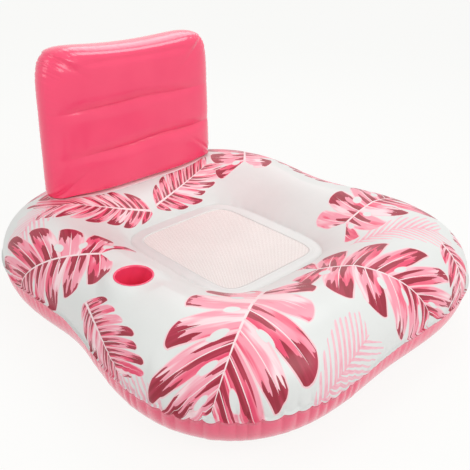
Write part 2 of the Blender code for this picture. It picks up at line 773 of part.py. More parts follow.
def build_backrest(group, helpers, pink, clear_vinyl):
    """Backrest cushion and its valve, hung on the pivot at its foot."""
    foot = foot_height() + GAP
    hinge_place = Matrix.Translation((0.0, backrest_plane(), foot + NOSE_RADIUS))
    hinge = add_pivot("backrest_hinge", hinge_place, group)
    front = build_backrest_sheet("backrest_front_sheet", -1.0, foot, group, pink)
    rear = build_backrest_sheet("backrest_rear_sheet", 1.0, foot, group, pink)
    pieces = [front, rear]
    for number, web in enumerate(WEB_HEIGHTS, start=1):
        pieces.append(build_backrest_web(f"backrest_web_{number}", web, foot, group, pink))
    frame = backrest_valve_frame(foot)
    pieces.append(build_valve("backrest_valve", rear, frame, group, helpers, clear_vinyl))
    for piece in pieces:
        place = piece.matrix_world.copy() if piece.type == "EMPTY" else Matrix.Translation(piece.location)
        hang_on(piece, hinge)
        piece.matrix_basis = place


def main():
    """Build the whole chair."""
    clear_scene()
    group = new_collection("inflatable_pool_chair")
    helpers = new_collection("cutters")
    white = new_material("printed_white_vinyl", (0.82, 0.80, 0.78), 0.30)
    pink = new_material("pink_vinyl", (0.90, 0.10, 0.22), 0.28)
    deep_pink = new_material("deep_pink_vinyl", (0.72, 0.05, 0.12), 0.32)
    clear_vinyl = new_material("valve_vinyl", (0.85, 0.84, 0.80), 0.35)
    net = new_material("seat_net_fabric", (0.80, 0.70, 0.66), 0.75)
    band = new_material("seat_band_vinyl", (0.84, 0.83, 0.81), 0.32)

    top = build_ring_top(group, white)
    build_ring_bottom(group, pink)
    build_weld_strip(group, band)
    build_seat_net(group, net)
    build_cup_holder(top, group, helpers, deep_pink, white)
    build_foot_strip(group, band)
    build_valve("ring_valve", top, ring_valve_frame(), group, helpers, clear_vinyl)
    build_backrest(group, helpers, pink, clear_vinyl)


main()
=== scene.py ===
"""Look of an inflatable pool chair: a printed ring, a net seat, a cup holder and a flexing backrest.

Metres, +Z up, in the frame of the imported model. The chair faces -Y.
"""

import json
import logging
import math
from dataclasses import dataclass, field
from enum import Enum
from typing import Callable, Sequence

import bmesh
import bpy
import numpy as np
from mathutils import Matrix, Vector
from mathutils.bvhtree import BVHTree


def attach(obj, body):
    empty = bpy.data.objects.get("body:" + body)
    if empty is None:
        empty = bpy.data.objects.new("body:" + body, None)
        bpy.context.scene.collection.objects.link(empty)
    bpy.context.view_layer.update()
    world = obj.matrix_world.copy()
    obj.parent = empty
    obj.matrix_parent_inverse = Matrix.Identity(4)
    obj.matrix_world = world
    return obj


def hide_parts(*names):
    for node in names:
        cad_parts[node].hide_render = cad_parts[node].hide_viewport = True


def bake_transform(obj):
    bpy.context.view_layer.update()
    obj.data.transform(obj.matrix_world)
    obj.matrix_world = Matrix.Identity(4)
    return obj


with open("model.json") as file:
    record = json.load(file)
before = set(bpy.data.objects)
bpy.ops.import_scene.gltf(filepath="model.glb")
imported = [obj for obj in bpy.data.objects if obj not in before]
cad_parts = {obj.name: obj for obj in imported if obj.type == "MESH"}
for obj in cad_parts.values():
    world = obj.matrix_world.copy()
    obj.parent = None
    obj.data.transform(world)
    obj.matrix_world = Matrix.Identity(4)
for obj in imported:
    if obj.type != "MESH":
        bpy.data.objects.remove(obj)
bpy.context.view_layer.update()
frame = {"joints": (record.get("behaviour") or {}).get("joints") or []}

LOG = logging.getLogger("pool_chair")
MERGE_DISTANCE = 1e-5
Colour = tuple[float, float, float]
Point = tuple[float, float, float]
Ground = Callable[[float, float], float]
Array = np.ndarray
Shape = bmesh.types.BMesh
Material = bpy.types.Material
Wave = tuple[float, int, Array | float]


class Side(Enum):
    """Way that a skin's faces look."""

    UP = (0.0, 0.0, 1.0)
    DOWN = (0.0, 0.0, -1.0)
    FRONT = (0.0, -1.0, 0.0)
    REAR = (0.0, 1.0, 0.0)


def waves(turn: Array, terms: Sequence[Wave]) -> Array:
    """Add up sine waves, each given by its height, its number of periods in a turn and its phase."""
    return sum(height * np.sin(count * turn + phase) for height, count, phase in terms)


def signed_power(value: Array, power: Array) -> Array:
    """Raise values to a power and keep their signs."""
    return np.sign(value) * np.abs(value) ** power


def smooth_step(low: float, high: float, value: Array) -> Array:
    """Rise smoothly from 0 at low to 1 at high."""
    share = np.clip((value - low) / (high - low), 0.0, 1.0)
    return share * share * (3.0 - 2.0 * share)


def bell(value: Array, middle: float, width: Array | float, power: float = 2.0) -> Array:
    """Fall off from 1 at the middle to about a third at a width from it."""
    return np.exp(-(np.abs(value - middle) / width) ** power)


def chance(index: Array, seed: float) -> Array:
    """Give each whole number its own value from 0 to 1."""
    return np.modf(np.abs(np.sin(index * 12.9898 + seed * 78.233) * 43758.5453))[0]


def eased_stations(count: int, even: float, power: float) -> Array:
    """Shares from 0 to 1, as a row, that lie closer together near 0."""
    share = np.linspace(0.0, 1.0, count + 1)[None, :]
    return even * share + (1.0 - even) * share ** power


def grid_of(*parts: Array | float) -> Array:
    """Grid of points or map places from their parts, which are columns, rows or full grids."""
    return np.stack(np.broadcast_arrays(*parts), axis=2)


def turned_points(turn: Array, radius: Array | float, height: Array | float, x: float = 0.0,
                  y: Array | float = 0.0) -> Array:
    """Points at some turns, radii and heights round an upright axis that stands at x and y."""
    return grid_of(x + radius * np.cos(turn), y + radius * np.sin(turn), height)


def hemmed(grid: Array, both_ends: bool = True) -> Array:
    """Repeat a grid's first row for a folded edge, and its last row too where both ends are folded."""
    return np.concatenate([grid[:, :1], grid] + [grid[:, -1:]] * both_ends, axis=1)


def levels(ground: Ground, x: Array | float, y: Array | float) -> Array:
    """Height of the ground at each place."""
    return np.vectorize(ground, otypes=[float])(x, y)


def surface_normals(points: Array) -> Array:
    """Unit normals of a grid of points.

    Args:
        points: Array of columns by rows by 3.

    Returns:
        Array of the same shape.
    """
    along, across = np.gradient(points, axis=0), np.gradient(points, axis=1)
    normal = np.cross(along, across)
    return normal / np.maximum(np.linalg.norm(normal, axis=2, keepdims=True), 1e-9)


def mesh_of(name: str, work: Shape) -> bpy.types.Mesh:
    """Turn a bmesh into a mesh.

    Args:
        name: Name of the mesh.
        work: The bmesh, which is freed.

    Returns:
        The mesh.
    """
    mesh = bpy.data.meshes.new(name)
    work.to_mesh(mesh)
    work.free()
    return mesh


def shaped_grid(name: str, points: Array, side: Side, maps: dict[str, Array] | None = None,
                closed: bool = False) -> Shape:
    """Make a grid whose corners take the given points.

    Args:
        name: Name of the mesh.
        points: Array of columns by rows by 3.
        side: Way that most of its faces look.
        maps: Map names with their columns by rows by 2 coordinates.
        closed: Whether the last column meets the first.

    Returns:
        The grid with its maps.
    """
    columns, rows = points.shape[0] - 1, points.shape[1] - 1
    work = bmesh.new()
    bmesh.ops.create_grid(work, x_segments=columns, y_segments=rows, size=1.0)
    mesh = mesh_of(name, work)
    flat = np.empty(len(mesh.vertices) * 3)
    mesh.vertices.foreach_get("co", flat)
    column = np.rint((flat[0::3] + 1.0) / 2.0 * columns).astype(int)
    row = np.rint((flat[1::3] + 1.0) / 2.0 * rows).astype(int)
    mesh.vertices.foreach_set("co", points[column, row].ravel())
    corner = np.empty(len(mesh.loops), dtype=int)
    mesh.loops.foreach_get("vertex_index", corner)
    for label, values in (maps or {}).items():
        layer = mesh.uv_layers.new(name=label)
        layer.data.foreach_set("uv", values[column[corner], row[corner]].ravel())
    work = bmesh.new()
    work.from_mesh(mesh)
    bpy.data.meshes.remove(mesh)
    if closed:
        bmesh.ops.remove_doubles(work, verts=work.verts, dist=MERGE_DISTANCE)
    work.normal_update()
    facing = sum((face.normal * face.calc_area() for face in work.faces), Vector())
    if facing.dot(Vector(side.value)) < 0.0:
        bmesh.ops.reverse_faces(work, faces=work.faces)
    return work


def add_shape(work: Shape, shape: Shape) -> None:
    """Add one bmesh to another and free it.

    Args:
        work: The bmesh that grows.
        shape: The bmesh that is added.
    """
    mesh = mesh_of("shape", shape)
    work.from_mesh(mesh)
    bpy.data.meshes.remove(mesh)


def finished_piece(name: str, work: Shape, material: Material, body: str,
                   nodes: Sequence[str]) -> bpy.types.Object:
    """Turn a bmesh into a smooth piece that rides on a body and stands for some nodes.

    Args:
        name: Name of the piece.
        work: Its shape, which is freed.
        material: Its finish.
        body: Body that it rides on, or an empty text where it rides on none.
        nodes: Nodes that it stands for.

    Returns:
        The new object.
    """
    mesh = mesh_of(name, work)
    mesh.shade_smooth()
    mesh.materials.append(material)
    piece = bpy.data.objects.new(name, mesh)
    bpy.context.scene.collection.objects.link(piece)
    if body:
        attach(piece, body)
    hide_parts(*nodes)
    LOG.info("%s: %d faces", name, len(mesh.polygons))
    return piece


def thicken(piece: bpy.types.Object, thickness: float, offset: float = -1.0) -> None:
    """Give a skin its wall.

    Args:
        piece: The skin.
        thickness: Thickness of the wall.
        offset: -1 where the wall lies behind the faces, 0 where it lies on both sides.
    """
    wall = piece.modifiers.new("Wall", "SOLIDIFY")
    wall.thickness = thickness
    wall.offset = offset


def split_many_sided(work: Shape) -> None:
    """Split faces of more than four sides into even triangles."""
    many = [face for face in work.faces if len(face.verts) > 4]
    bmesh.ops.triangulate(work, faces=many, quad_method="BEAUTY", ngon_method="BEAUTY")


def cut_round_hole(work: Shape, place: Matrix, radius: float, reach: float, sides: int) -> None:
    """Cut a round hole in a skin, one side of a many-sided hole at a time.

    Args:
        work: The skin.
        place: Frame whose Z runs along the hole, at its middle.
        radius: Radius of the hole.
        reach: Distance from the middle within which faces are looked at.
        sides: Number of its straight sides.
    """
    turn, inverse = place.to_3x3(), place.inverted()
    faces = {face for face in work.faces if (face.calc_center_median() - place.translation).length < reach}
    flat_radius = radius * math.cos(math.pi / sides)
    widest_face = 0.008
    span = math.tau * radius / sides + widest_face
    for index in range(sides):
        heading = math.tau * (index + 0.5) / sides
        away = turn @ Vector((math.cos(heading), math.sin(heading), 0.0))
        point = place.translation + away * flat_radius
        near = [face for face in faces
                if (turn.transposed() @ (face.calc_center_median() - point)).xy.length < span]
        edges = list({edge for face in near for edge in face.edges})
        corners = list({corner for face in near for corner in face.verts})
        cut = bmesh.ops.bisect_plane(work, geom=near + edges + corners, plane_co=point, plane_no=away,
                                     dist=1e-6)
        faces -= set(near)
        faces |= {item for item in cut["geom"] if isinstance(item, bmesh.types.BMFace)}
    inside = [face for face in faces if face.is_valid
              and (inverse @ face.calc_center_median()).xy.length < flat_radius]
    bmesh.ops.delete(work, geom=inside, context="FACES")
    split_many_sided(work)


def press_flat(work: Shape, place: Matrix, inner: float, outer: float, sunk: float = 0.0) -> None:
    """Press a skin flat round a fitting that is welded into it.

    Args:
        work: The skin.
        place: Frame whose Z leaves the skin at the fitting's middle.
        inner: Radius of the flat part.
        outer: Radius where the skin has its own form again.
        sunk: Depth of the flat part under the frame's level.
    """
    inverse = place.inverted()
    near = [face for face in work.faces
            if (face.calc_center_median() - place.translation).length < 1.3 * outer]
    edges = list({edge for face in near for edge in face.edges})
    bmesh.ops.subdivide_edges(work, edges=edges, cuts=2, use_grid_fill=True)
    split_many_sided(work)
    for corner in work.verts:
        local = inverse @ corner.co
        if abs(local.z) < outer and local.xy.length < outer:
            share = 1.0 - float(smooth_step(inner, outer, local.xy.length))
            local.z -= (local.z + sunk) * share
            corner.co = place @ local


class Wire:
    """One value on a material's wires, with the sums that its nodes can do."""

    def __init__(self, tree: bpy.types.NodeTree, socket: bpy.types.NodeSocket) -> None:
        """Keep the tree and the socket that the value leaves from."""
        self.tree = tree
        self.socket = socket

    def fill(self, socket: bpy.types.NodeSocket, value: "Wire | float | Point") -> None:
        """Link a wire to a socket, or set a plain value on it.

        Args:
            socket: Input of a node.
            value: The wire or the plain value.
        """
        if isinstance(value, Wire):
            self.tree.links.new(value.socket, socket)
        else:
            socket.default_value = value

    def added(self, kind: str, *others: "Wire | float | Point", operation: str = "") -> bpy.types.Node:
        """Add a node whose first inputs take this value and others.

        Args:
            kind: Blender's name of the node.
            others: Wires or plain values, in the order of its inputs.
            operation: Its sum, where it has a choice of them.

        Returns:
            The node.
        """
        node = self.tree.nodes.new(kind)
        if operation:
            node.operation = operation
        for socket, value in zip(node.inputs, (self, *others)):
            self.fill(socket, value)
        return node

    def maths(self, operation: str, *others: "Wire | float") -> "Wire":
        """Result of a Math node, with this value first."""
        return Wire(self.tree, self.added("ShaderNodeMath", *others, operation=operation).outputs[0])

    def vector(self, operation: str, *others: "Wire | Point", output: int = 0) -> "Wire":
        """Result of a Vector Math node, with this vector first: output 0 is a vector and 1 a number."""
        node = self.added("ShaderNodeVectorMath", *others, operation=operation)
        return Wire(self.tree, node.outputs[output])

    def __add__(self, other: "Wire | float") -> "Wire":
        """Sum of two values."""
        return self.maths("ADD", other)

    def __sub__(self, other: "Wire | float") -> "Wire":
        """Difference of two values."""
        return self.maths("SUBTRACT", other)

    def __mul__(self, other: "Wire | float") -> "Wire":
        """Product of two values."""
        return self.maths("MULTIPLY", other)

    def __truediv__(self, other: "Wire | float") -> "Wire":
        """Quotient of two values."""
        return self.maths("DIVIDE", other)

    def size(self) -> "Wire":
        """Value without its sign."""
        return self.maths("ABSOLUTE")

    def least(self, other: "Wire | float") -> "Wire":
        """The smaller of two values."""
        return self.maths("MINIMUM", other)

    def most(self, other: "Wire | float") -> "Wire":
        """The greater of two values."""
        return self.maths("MAXIMUM", other)

    def above(self, other: "Wire | float") -> "Wire":
        """1 where the value is greater, else 0."""
        return self.maths("GREATER_THAN", other)

    def below(self, other: "Wire | float") -> "Wire":
        """1 where the value is less, else 0."""
        return self.maths("LESS_THAN", other)

    def length(self) -> "Wire":
        """Length of a vector."""
        return self.vector("LENGTH", output=1)

    def step(self, low: float, high: float) -> "Wire":
        """Rise smoothly between two values.

        Args:
            low, high: Values at which the result is 0, and at which it is 1.

        Returns:
            The result.
        """
        node = self.added("ShaderNodeMapRange", low, high, 0.0, 1.0)
        node.interpolation_type = "SMOOTHSTEP"
        return Wire(self.tree, node.outputs[0])

    def parts(self) -> tuple["Wire", "Wire", "Wire"]:
        """The three parts of a vector or colour."""
        node = self.added("ShaderNodeSeparateXYZ")
        return tuple(Wire(self.tree, output) for output in node.outputs)

    def joined(self, second: "Wire | float", third: "Wire | float" = 0.0) -> "Wire":
        """Vector of this value and two others."""
        return Wire(self.tree, self.added("ShaderNodeCombineXYZ", second, third).outputs[0])

    def noise(self, scale: float, detail: float = 2.0) -> "Wire":
        """Soft noise at this vector.

        Args:
            scale: Patches in one unit of the vector.
            detail: How much finer the noise goes.

        Returns:
            Values from 0 to 1.
        """
        node = self.added("ShaderNodeTexNoise")
        node.inputs["Scale"].default_value = scale
        node.inputs["Detail"].default_value = detail
        return Wire(self.tree, node.outputs[0])

    def dice(self) -> tuple["Wire", "Wire", "Wire"]:
        """Three values from 0 to 1 that belong to this vector."""
        return Wire(self.tree, self.added("ShaderNodeTexWhiteNoise").outputs["Color"]).parts()

    def mixed(self, first: "Wire | Colour", second: "Wire | Colour") -> "Wire":
        """Mix two colours, by this value as the share of the second.

        Args:
            first, second: Colours where this value is 0, and where it is 1.

        Returns:
            The colour.
        """
        node = self.tree.nodes.new("ShaderNodeMix")
        node.data_type = "RGBA"
        self.fill(node.inputs[0], self)
        for socket, value in ((node.inputs[6], first), (node.inputs[7], second)):
            self.fill(socket, value if isinstance(value, Wire) else (*value, 1.0))
        return Wire(self.tree, node.outputs[2])

    def chosen(self, first: "Wire", second: "Wire") -> "Wire":
        """Choose one of two vectors.

        Args:
            first, second: Vectors where this value is 0, and where it is 1.

        Returns:
            The vector.
        """
        node = self.tree.nodes.new("ShaderNodeMix")
        node.data_type = "VECTOR"
        self.fill(node.inputs[0], self)
        self.fill(node.inputs[4], first)
        self.fill(node.inputs[5], second)
        return Wire(self.tree, node.outputs[1])

    def ramp(self, *stops: tuple[float, Colour]) -> "Wire":
        """Colour by value.

        Args:
            stops: Places and their colours, in order.

        Returns:
            The colour.
        """
        node = self.added("ShaderNodeValToRGB")
        elements = node.color_ramp.elements
        while len(elements) < len(stops):
            elements.new(0.5)
        for element, (place, colour) in zip(elements, stops):
            element.position = place
            element.color = (*colour, 1.0)
        return Wire(self.tree, node.outputs[0])

    def clouded(self, colour: Colour, dimming: float, edge: float = 0.3) -> "Wire":
        """Soft clouds between a colour's dimmed tone and the colour itself, by a noise."""
        return self.ramp((edge, dimmed(colour, dimming)), (1.0 - edge, colour))


def dimmed(colour: Colour, share: float) -> Colour:
    """A share of a colour's brightness."""
    return tuple(share * value for value in colour)


class Coordinates(Enum):
    """Coordinates that a finish's patterns are laid out in."""

    OBJECT = "Object"
    MAP = "UV"


@dataclass
class Finish:
    """Material with its Principled shader, which the finishes fill in."""

    name: str
    material: Material = field(init=False)
    tree: bpy.types.NodeTree = field(init=False)
    shader: bpy.types.ShaderNode = field(init=False)

    def __post_init__(self) -> None:
        """Make the empty material."""
        self.material = bpy.data.materials.new(self.name)
        self.material.use_nodes = True
        self.tree = self.material.node_tree
        self.shader = self.tree.nodes["Principled BSDF"]

    def place(self, kind: Coordinates, label: str = "") -> Wire:
        """Coordinates of the shaded point, in metres.

        Args:
            kind: Whether they are the object's or a map's.
            label: Name of the map.

        Returns:
            The vector.
        """
        if kind is Coordinates.MAP:
            node = self.tree.nodes.new("ShaderNodeUVMap")
            node.uv_map = label
            return Wire(self.tree, node.outputs[0])
        node = self.tree.nodes.new("ShaderNodeTexCoord")
        return Wire(self.tree, node.outputs[kind.value])

    def set(self, **values: float) -> None:
        """Set plain values on the shader's sockets, named with underscores for spaces."""
        for key, value in values.items():
            self.shader.inputs[key.replace("_", " ")].default_value = value

    def colour(self, value: Wire) -> None:
        """Drive the shader's colour."""
        self.tree.links.new(value.socket, self.shader.inputs["Base Color"])

    def roughness(self, grain: Wire, spread: float, least: float) -> None:
        """Drive the shader's roughness, from a least value over a spread, by a grain from 0 to 1."""
        self.tree.links.new((grain * spread + least).socket, self.shader.inputs["Roughness"])

    def relief(self, height: Wire, depth: float) -> None:
        """Raise the surface's shading.

        Args:
            height: Height from 0 to 1.
            depth: Metres that a height of 1 stands for.
        """
        node = self.tree.nodes.new("ShaderNodeBump")
        node.inputs["Distance"].default_value = depth
        self.tree.links.new(height.socket, node.inputs["Height"])
        self.tree.links.new(node.outputs[0], self.shader.inputs["Normal"])


@dataclass(frozen=True)
class Leaf:
    """One printed leaf: its middle on the flat sheet, its heading in degrees, length and own number."""

    x: float
    y: float
    heading: float
    length: float
    number: float
    mirrored: bool = False

    def coordinates(self, place: Wire, middle: float) -> Wire:
        """Lay the leaf's own coordinates over the flat sheet.

        Args:
            place: Place on the flat sheet.
            middle: Share of the leaf's length at which its middle lies.

        Returns:
            Place along and across the leaf in shares of its length, from its base, and its number.
        """
        turn = math.radians(self.heading)
        back = middle * self.length
        flip = -1.0 if self.mirrored else 1.0
        node = place.added("ShaderNodeMapping")
        node.vector_type = "TEXTURE"
        node.inputs["Location"].default_value = (self.x - back * math.cos(turn),
                                                 self.y - back * math.sin(turn), -self.number)
        node.inputs["Rotation"].default_value = (0.0, 0.0, turn)
        node.inputs["Scale"].default_value = (self.length, flip * self.length, 1.0)
        return Wire(place.tree, node.outputs[0])


@dataclass(frozen=True)
class LeafPoint:
    """Where a shaded point lies on a leaf, and on the finger of the leaf that it belongs to.

    Attributes:
        x, aside: Place along the rib, and distance from it.
        across, along: Place across the finger, from -0.5 to 0.5, and share of its length.
        inside: How far inside the leaf's outline it is, above 0 where the leaf is.
        spread: How many times wider the finger is there than at the rib.
        finger, leaf: Numbers of the finger and of the leaf.
        dice: Three values from 0 to 1 that belong to the finger.
    """

    x: Wire
    aside: Wire
    across: Wire
    along: Wire
    inside: Wire
    spread: Wire
    finger: Wire
    leaf: Wire
    dice: tuple[Wire, Wire, Wire]


@dataclass(frozen=True)
class LeafHoles:
    """Slim holes of a split leaf, which lie near the rib on the borders of its fingers."""

    share: float
    slimness: float = 5.0
    slimness_luck: float = 3.0
    place: float = 0.24
    place_luck: float = 0.10
    shortness: float = 8.5
    edge: float = 0.2
    no_limit: float = 9.0

    def outside(self, row: Wire, across: Wire, along: Wire, side_number: Wire, leaf: Wire) -> Wire:
        """Work out how far a point lies outside the hole on the nearest border.

        Args:
            row: Running number of the finger with its share.
            across, along: Place across the finger, and share of its length.
            side_number: Number that belongs to the side of the rib.
            leaf: The leaf's own number.

        Returns:
            Distance from the hole, below 0 in it, and large where the border has none.
        """
        luck = (row + 0.5).maths("FLOOR").joined(side_number, leaf).dice()
        wide = (across.size() - 0.5) * (luck[1] * self.slimness_luck + self.slimness)
        long = (along - luck[2] * self.place_luck - self.place) * self.shortness
        hole = wide.joined(long).length() * self.edge - self.edge
        return hole + luck[0].above(self.share) * self.no_limit


@dataclass(frozen=True)
class LeafKind:
    """How one kind of leaf is drawn, in shares of its length from its base at 0 to its tip at 1."""

    leaves: tuple[Leaf, ...]
    slant: float
    fan: float
    bend: float
    fingers: float
    half_width: float
    start: float
    blunt_power: float
    gap: float
    gap_start: float
    notch: float
    tip_round: float
    dark_share: float
    vein: float = 0.0045
    middle: float = 0.45
    holes: LeafHoles | None = None
    end: float = 1.02
    claimed_half_width: float = 0.62
    shortest_finger: float = 0.84
    finger_luck: float = 0.26
    least_length: float = 0.0005
    narrowest_gap: float = 0.6
    gap_luck: float = 0.5
    tip_power: float = 2.6
    tip_blend: float = 0.25
    notch_slope: float = 3.0
    notch_start: float = 0.03
    edge_slope: float = 0.45
    base_slope: float = 9.0
    base_margin: float = 0.10

    def nearest(self, place: Wire) -> Wire:
        """Find the leaf that a point belongs to.

        Args:
            place: Place on the flat sheet.

        Returns:
            Coordinates on that leaf, with the leaf's own number as the third part.
        """
        chosen, best = None, None
        squeeze = (1.0, self.claimed_half_width / self.half_width, 0.0)
        for leaf in self.leaves:
            local = leaf.coordinates(place, self.middle)
            far = local.vector("MULTIPLY_ADD", squeeze, (-self.middle, 0.0, 0.0)).length()
            if chosen is None:
                chosen, best = local, far
            else:
                chosen = far.below(best).chosen(chosen, local)
                best = best.least(far)
        return chosen

    def finger_length(self, base: Wire, luck: Wire) -> Wire:
        """Length of the finger that leaves the rib at a place.

        Args:
            base: Place along the rib.
            luck: Value from 0 to 1 of the finger's dice.

        Returns:
            The length, which is 0 at the leaf's start and end.
        """
        ahead = (base - self.start).most(0.0)
        behind = (base * -1.0 + self.end).most(0.0)
        power = 2 * self.blunt_power
        length = (ahead * behind).maths("POWER", self.blunt_power) * self.half_width * 2.0 ** power
        return length / (self.end - self.start) ** power * (luck * self.finger_luck + self.shortest_finger)

    def point(self, local: Wire) -> LeafPoint:
        """Work out where a point lies among a leaf's fingers.

        Args:
            local: Coordinates on the leaf.

        Returns:
            Its place on the leaf and on its finger.
        """
        x, y, leaf = local.parts()
        aside = y.size()
        left = y.above(0.0)
        spread = aside * self.fan + 1.0
        base = (x - aside * self.slant - aside * aside * self.bend) / spread
        row = base * self.fingers + left * 0.5
        finger = row.maths("FLOOR")
        across = row.maths("FRACT") - 0.5
        dice = finger.joined(left * 7.0 + 1.0, leaf).dice()
        length = self.finger_length(base, dice[0])
        along = aside / length.most(self.least_length)
        slit = along.step(self.gap_start, 1.0) * (dice[1] * self.gap_luck + self.narrowest_gap) * self.gap
        edge = (across.size() * -1.0 + 0.5) - slit
        rounded = (across.size() * 2.0).maths("POWER", self.tip_power) * -self.tip_round + 1.0
        notched = aside * self.notch_slope + x * self.notch * self.notch_slope + self.notch_start
        tip = (rounded - along).maths("SMOOTH_MIN", notched, self.tip_blend)
        inside = (edge * self.edge_slope).least(tip).least(length * self.base_slope - self.base_margin)
        finger_middle = (finger - left * 0.5 + 0.5) / self.fingers
        inside = inside.least((finger_middle - self.start * 0.5) * self.base_slope)
        if self.holes:
            inside = inside.least(self.holes.outside(row, across, along, left * 5.0 + 2.0, leaf))
        return LeafPoint(x, aside, across, along, inside, spread, finger, leaf, dice)


@dataclass(frozen=True)
class Strokes:
    """Brush strokes: a noise laid along the fingers, another one on each finger and leaf."""

    across: float
    along: float
    finger_step: float
    leaf_step: float
    leaf_start: float
    scale: float
    detail: float

    def strength(self, point: LeafPoint) -> Wire:
        """Work out how strong the strokes are at a point of a leaf.

        Args:
            point: The point.

        Returns:
            The strength, from -0.5 to 0.5.
        """
        sideways = point.across * self.across + point.finger * self.finger_step
        place = sideways.joined(point.along * self.along, point.leaf * self.leaf_step + self.leaf_start)
        return place.noise(self.scale, self.detail) - 0.5


@dataclass(frozen=True)
class Spear:
    """Dark spear painted along a finger: its middle across the finger, taper, half width and raggedness."""

    middle: float
    taper: float
    half_width: float
    raggedness: float

    def shown(self, point: LeafPoint, length: Wire, flame: Wire) -> Wire:
        """1 where the spear covers a point of the finger, else 0."""
        aside = (point.across - self.middle).size() + point.along / length * self.taper
        return (aside - self.half_width - flame * self.raggedness).below(0.0)


@dataclass(frozen=True)
class PrintColours:
    """Colours of the leaf print, as the light sees them."""

    highlight: Colour = (0.95, 0.70, 0.73)
    pale: Colour = (0.93, 0.50, 0.57)
    light: Colour = (0.90, 0.33, 0.42)
    middle: Colour = (0.88, 0.17, 0.26)
    hot: Colour = (0.80, 0.065, 0.155)
    dark_edge: Colour = (0.44, 0.028, 0.068)
    dark: Colour = (0.31, 0.012, 0.034)
    vein: Colour = (0.94, 0.74, 0.76)
    outline: Colour = (0.92, 0.58, 0.62)
    frond: Colour = (0.86, 0.30, 0.41)
    pale_frond: Colour = (0.92, 0.52, 0.59)


@dataclass(frozen=True)
class LeafPaint:
    """How the full leaves are painted: tones, dark tips and spears, veins and outline."""

    colours: PrintColours = PrintColours()
    broad: Strokes = Strokes(
        across=1.5, along=0.9, finger_step=5.3, leaf_step=3.1, leaf_start=0.0, scale=1.5, detail=1.0)
    flames: Strokes = Strokes(
        across=5.5, along=1.0, finger_step=3.7, leaf_step=1.7, leaf_start=5.0, scale=1.7, detail=1.2)
    tone_base: float = 0.30
    tone_luck: float = 0.42
    tone_broad: float = 1.5
    tone_flame: float = 0.55
    tone_slope: float = 0.45
    tip_start: float = 0.71
    tip_saw: float = 0.17
    tip_flame: float = 0.75
    tip_slope: float = 0.30
    tip_luck: float = 0.22
    saw_teeth: float = 3.6
    spears: tuple[Spear, ...] = (Spear(0.13, 0.22, 0.23, 0.22), Spear(-0.24, 0.17, 0.145, 0.20))
    spear_length: float = 0.36
    spear_luck: float = 0.40
    spearless_share: float = 0.16
    dark_slope: float = 0.3
    vein_taper: float = 1.15
    rib_width: float = 0.013
    rib_taper: float = 0.011
    outline_width: float = 0.020

    def body(self, point: LeafPoint, flame: Wire) -> Wire:
        """Plain colour of the fingers.

        Args:
            point: Point of the leaf.
            flame: Strength of the fine strokes.

        Returns:
            The colour.
        """
        tone = point.dice[0] * self.tone_luck + self.broad.strength(point) * self.tone_broad
        tone = tone + flame * self.tone_flame + point.across * self.tone_slope + self.tone_base
        paint = self.colours
        return tone.ramp((0.12, paint.highlight), (0.22, paint.pale), (0.34, paint.light),
                         (0.56, paint.light), (0.64, paint.middle), (0.86, paint.hot))

    def dark(self, point: LeafPoint, flame: Wire, dark_share: float) -> Wire:
        """Find the dark sawn tips and the dark spears.

        Args:
            point: Point of the leaf.
            flame: Strength of the fine strokes.
            dark_share: Share of the fingers that have a dark tip.

        Returns:
            1 where the paint is dark, else 0.
        """
        first, second, third = point.dice
        across, along = point.across, point.along
        saw = ((across * self.saw_teeth + second * 3.0).maths("FRACT") - 0.5).size() * 2.0
        ragged = along + saw * self.tip_saw + flame * self.tip_flame + across * self.tip_slope
        tipped = (ragged - second * self.tip_luck).above(self.tip_start) * third.above(1.0 - dark_share)
        length = second * self.spear_luck + self.spear_length
        large, small = (spear.shown(point, length, flame) for spear in self.spears)
        return tipped.most(large.most(small) * first.above(self.spearless_share))

    def lines(self, point: LeafPoint, kind: LeafKind) -> Wire:
        """Find the fingers' veins and the leaf's rib.

        Args:
            point: Point of the leaf.
            kind: Kind of the leaf.

        Returns:
            1 on a vein or the rib, else 0.
        """
        width = (point.spread * kind.fingers) * kind.vein
        vein = (point.across.size() - width * (point.along * -self.vein_taper + 1.0)).below(0.0)
        rib = (point.aside - (point.x * -self.rib_taper + self.rib_width)).below(0.0)
        return vein.most(rib)

    def laid(self, below: Wire, kind: LeafKind, place: Wire) -> Wire:
        """Lay one kind of leaves over a colour.

        Args:
            below: Colour under them.
            kind: Kind of the leaves.
            place: Place on the flat sheet.

        Returns:
            The colour.
        """
        point = kind.point(kind.nearest(place))
        flame = self.flames.strength(point)
        paint = self.colours
        shade = flame + point.across * self.dark_slope + 0.5
        shade = shade.ramp((0.35, paint.dark_edge), (0.62, paint.dark))
        body = self.dark(point, flame, kind.dark_share).mixed(self.body(point, flame), shade)
        body = self.lines(point, kind).mixed(body, paint.vein)
        body = point.inside.below(self.outline_width).mixed(body, paint.outline)
        return point.inside.above(0.0).mixed(below, body)


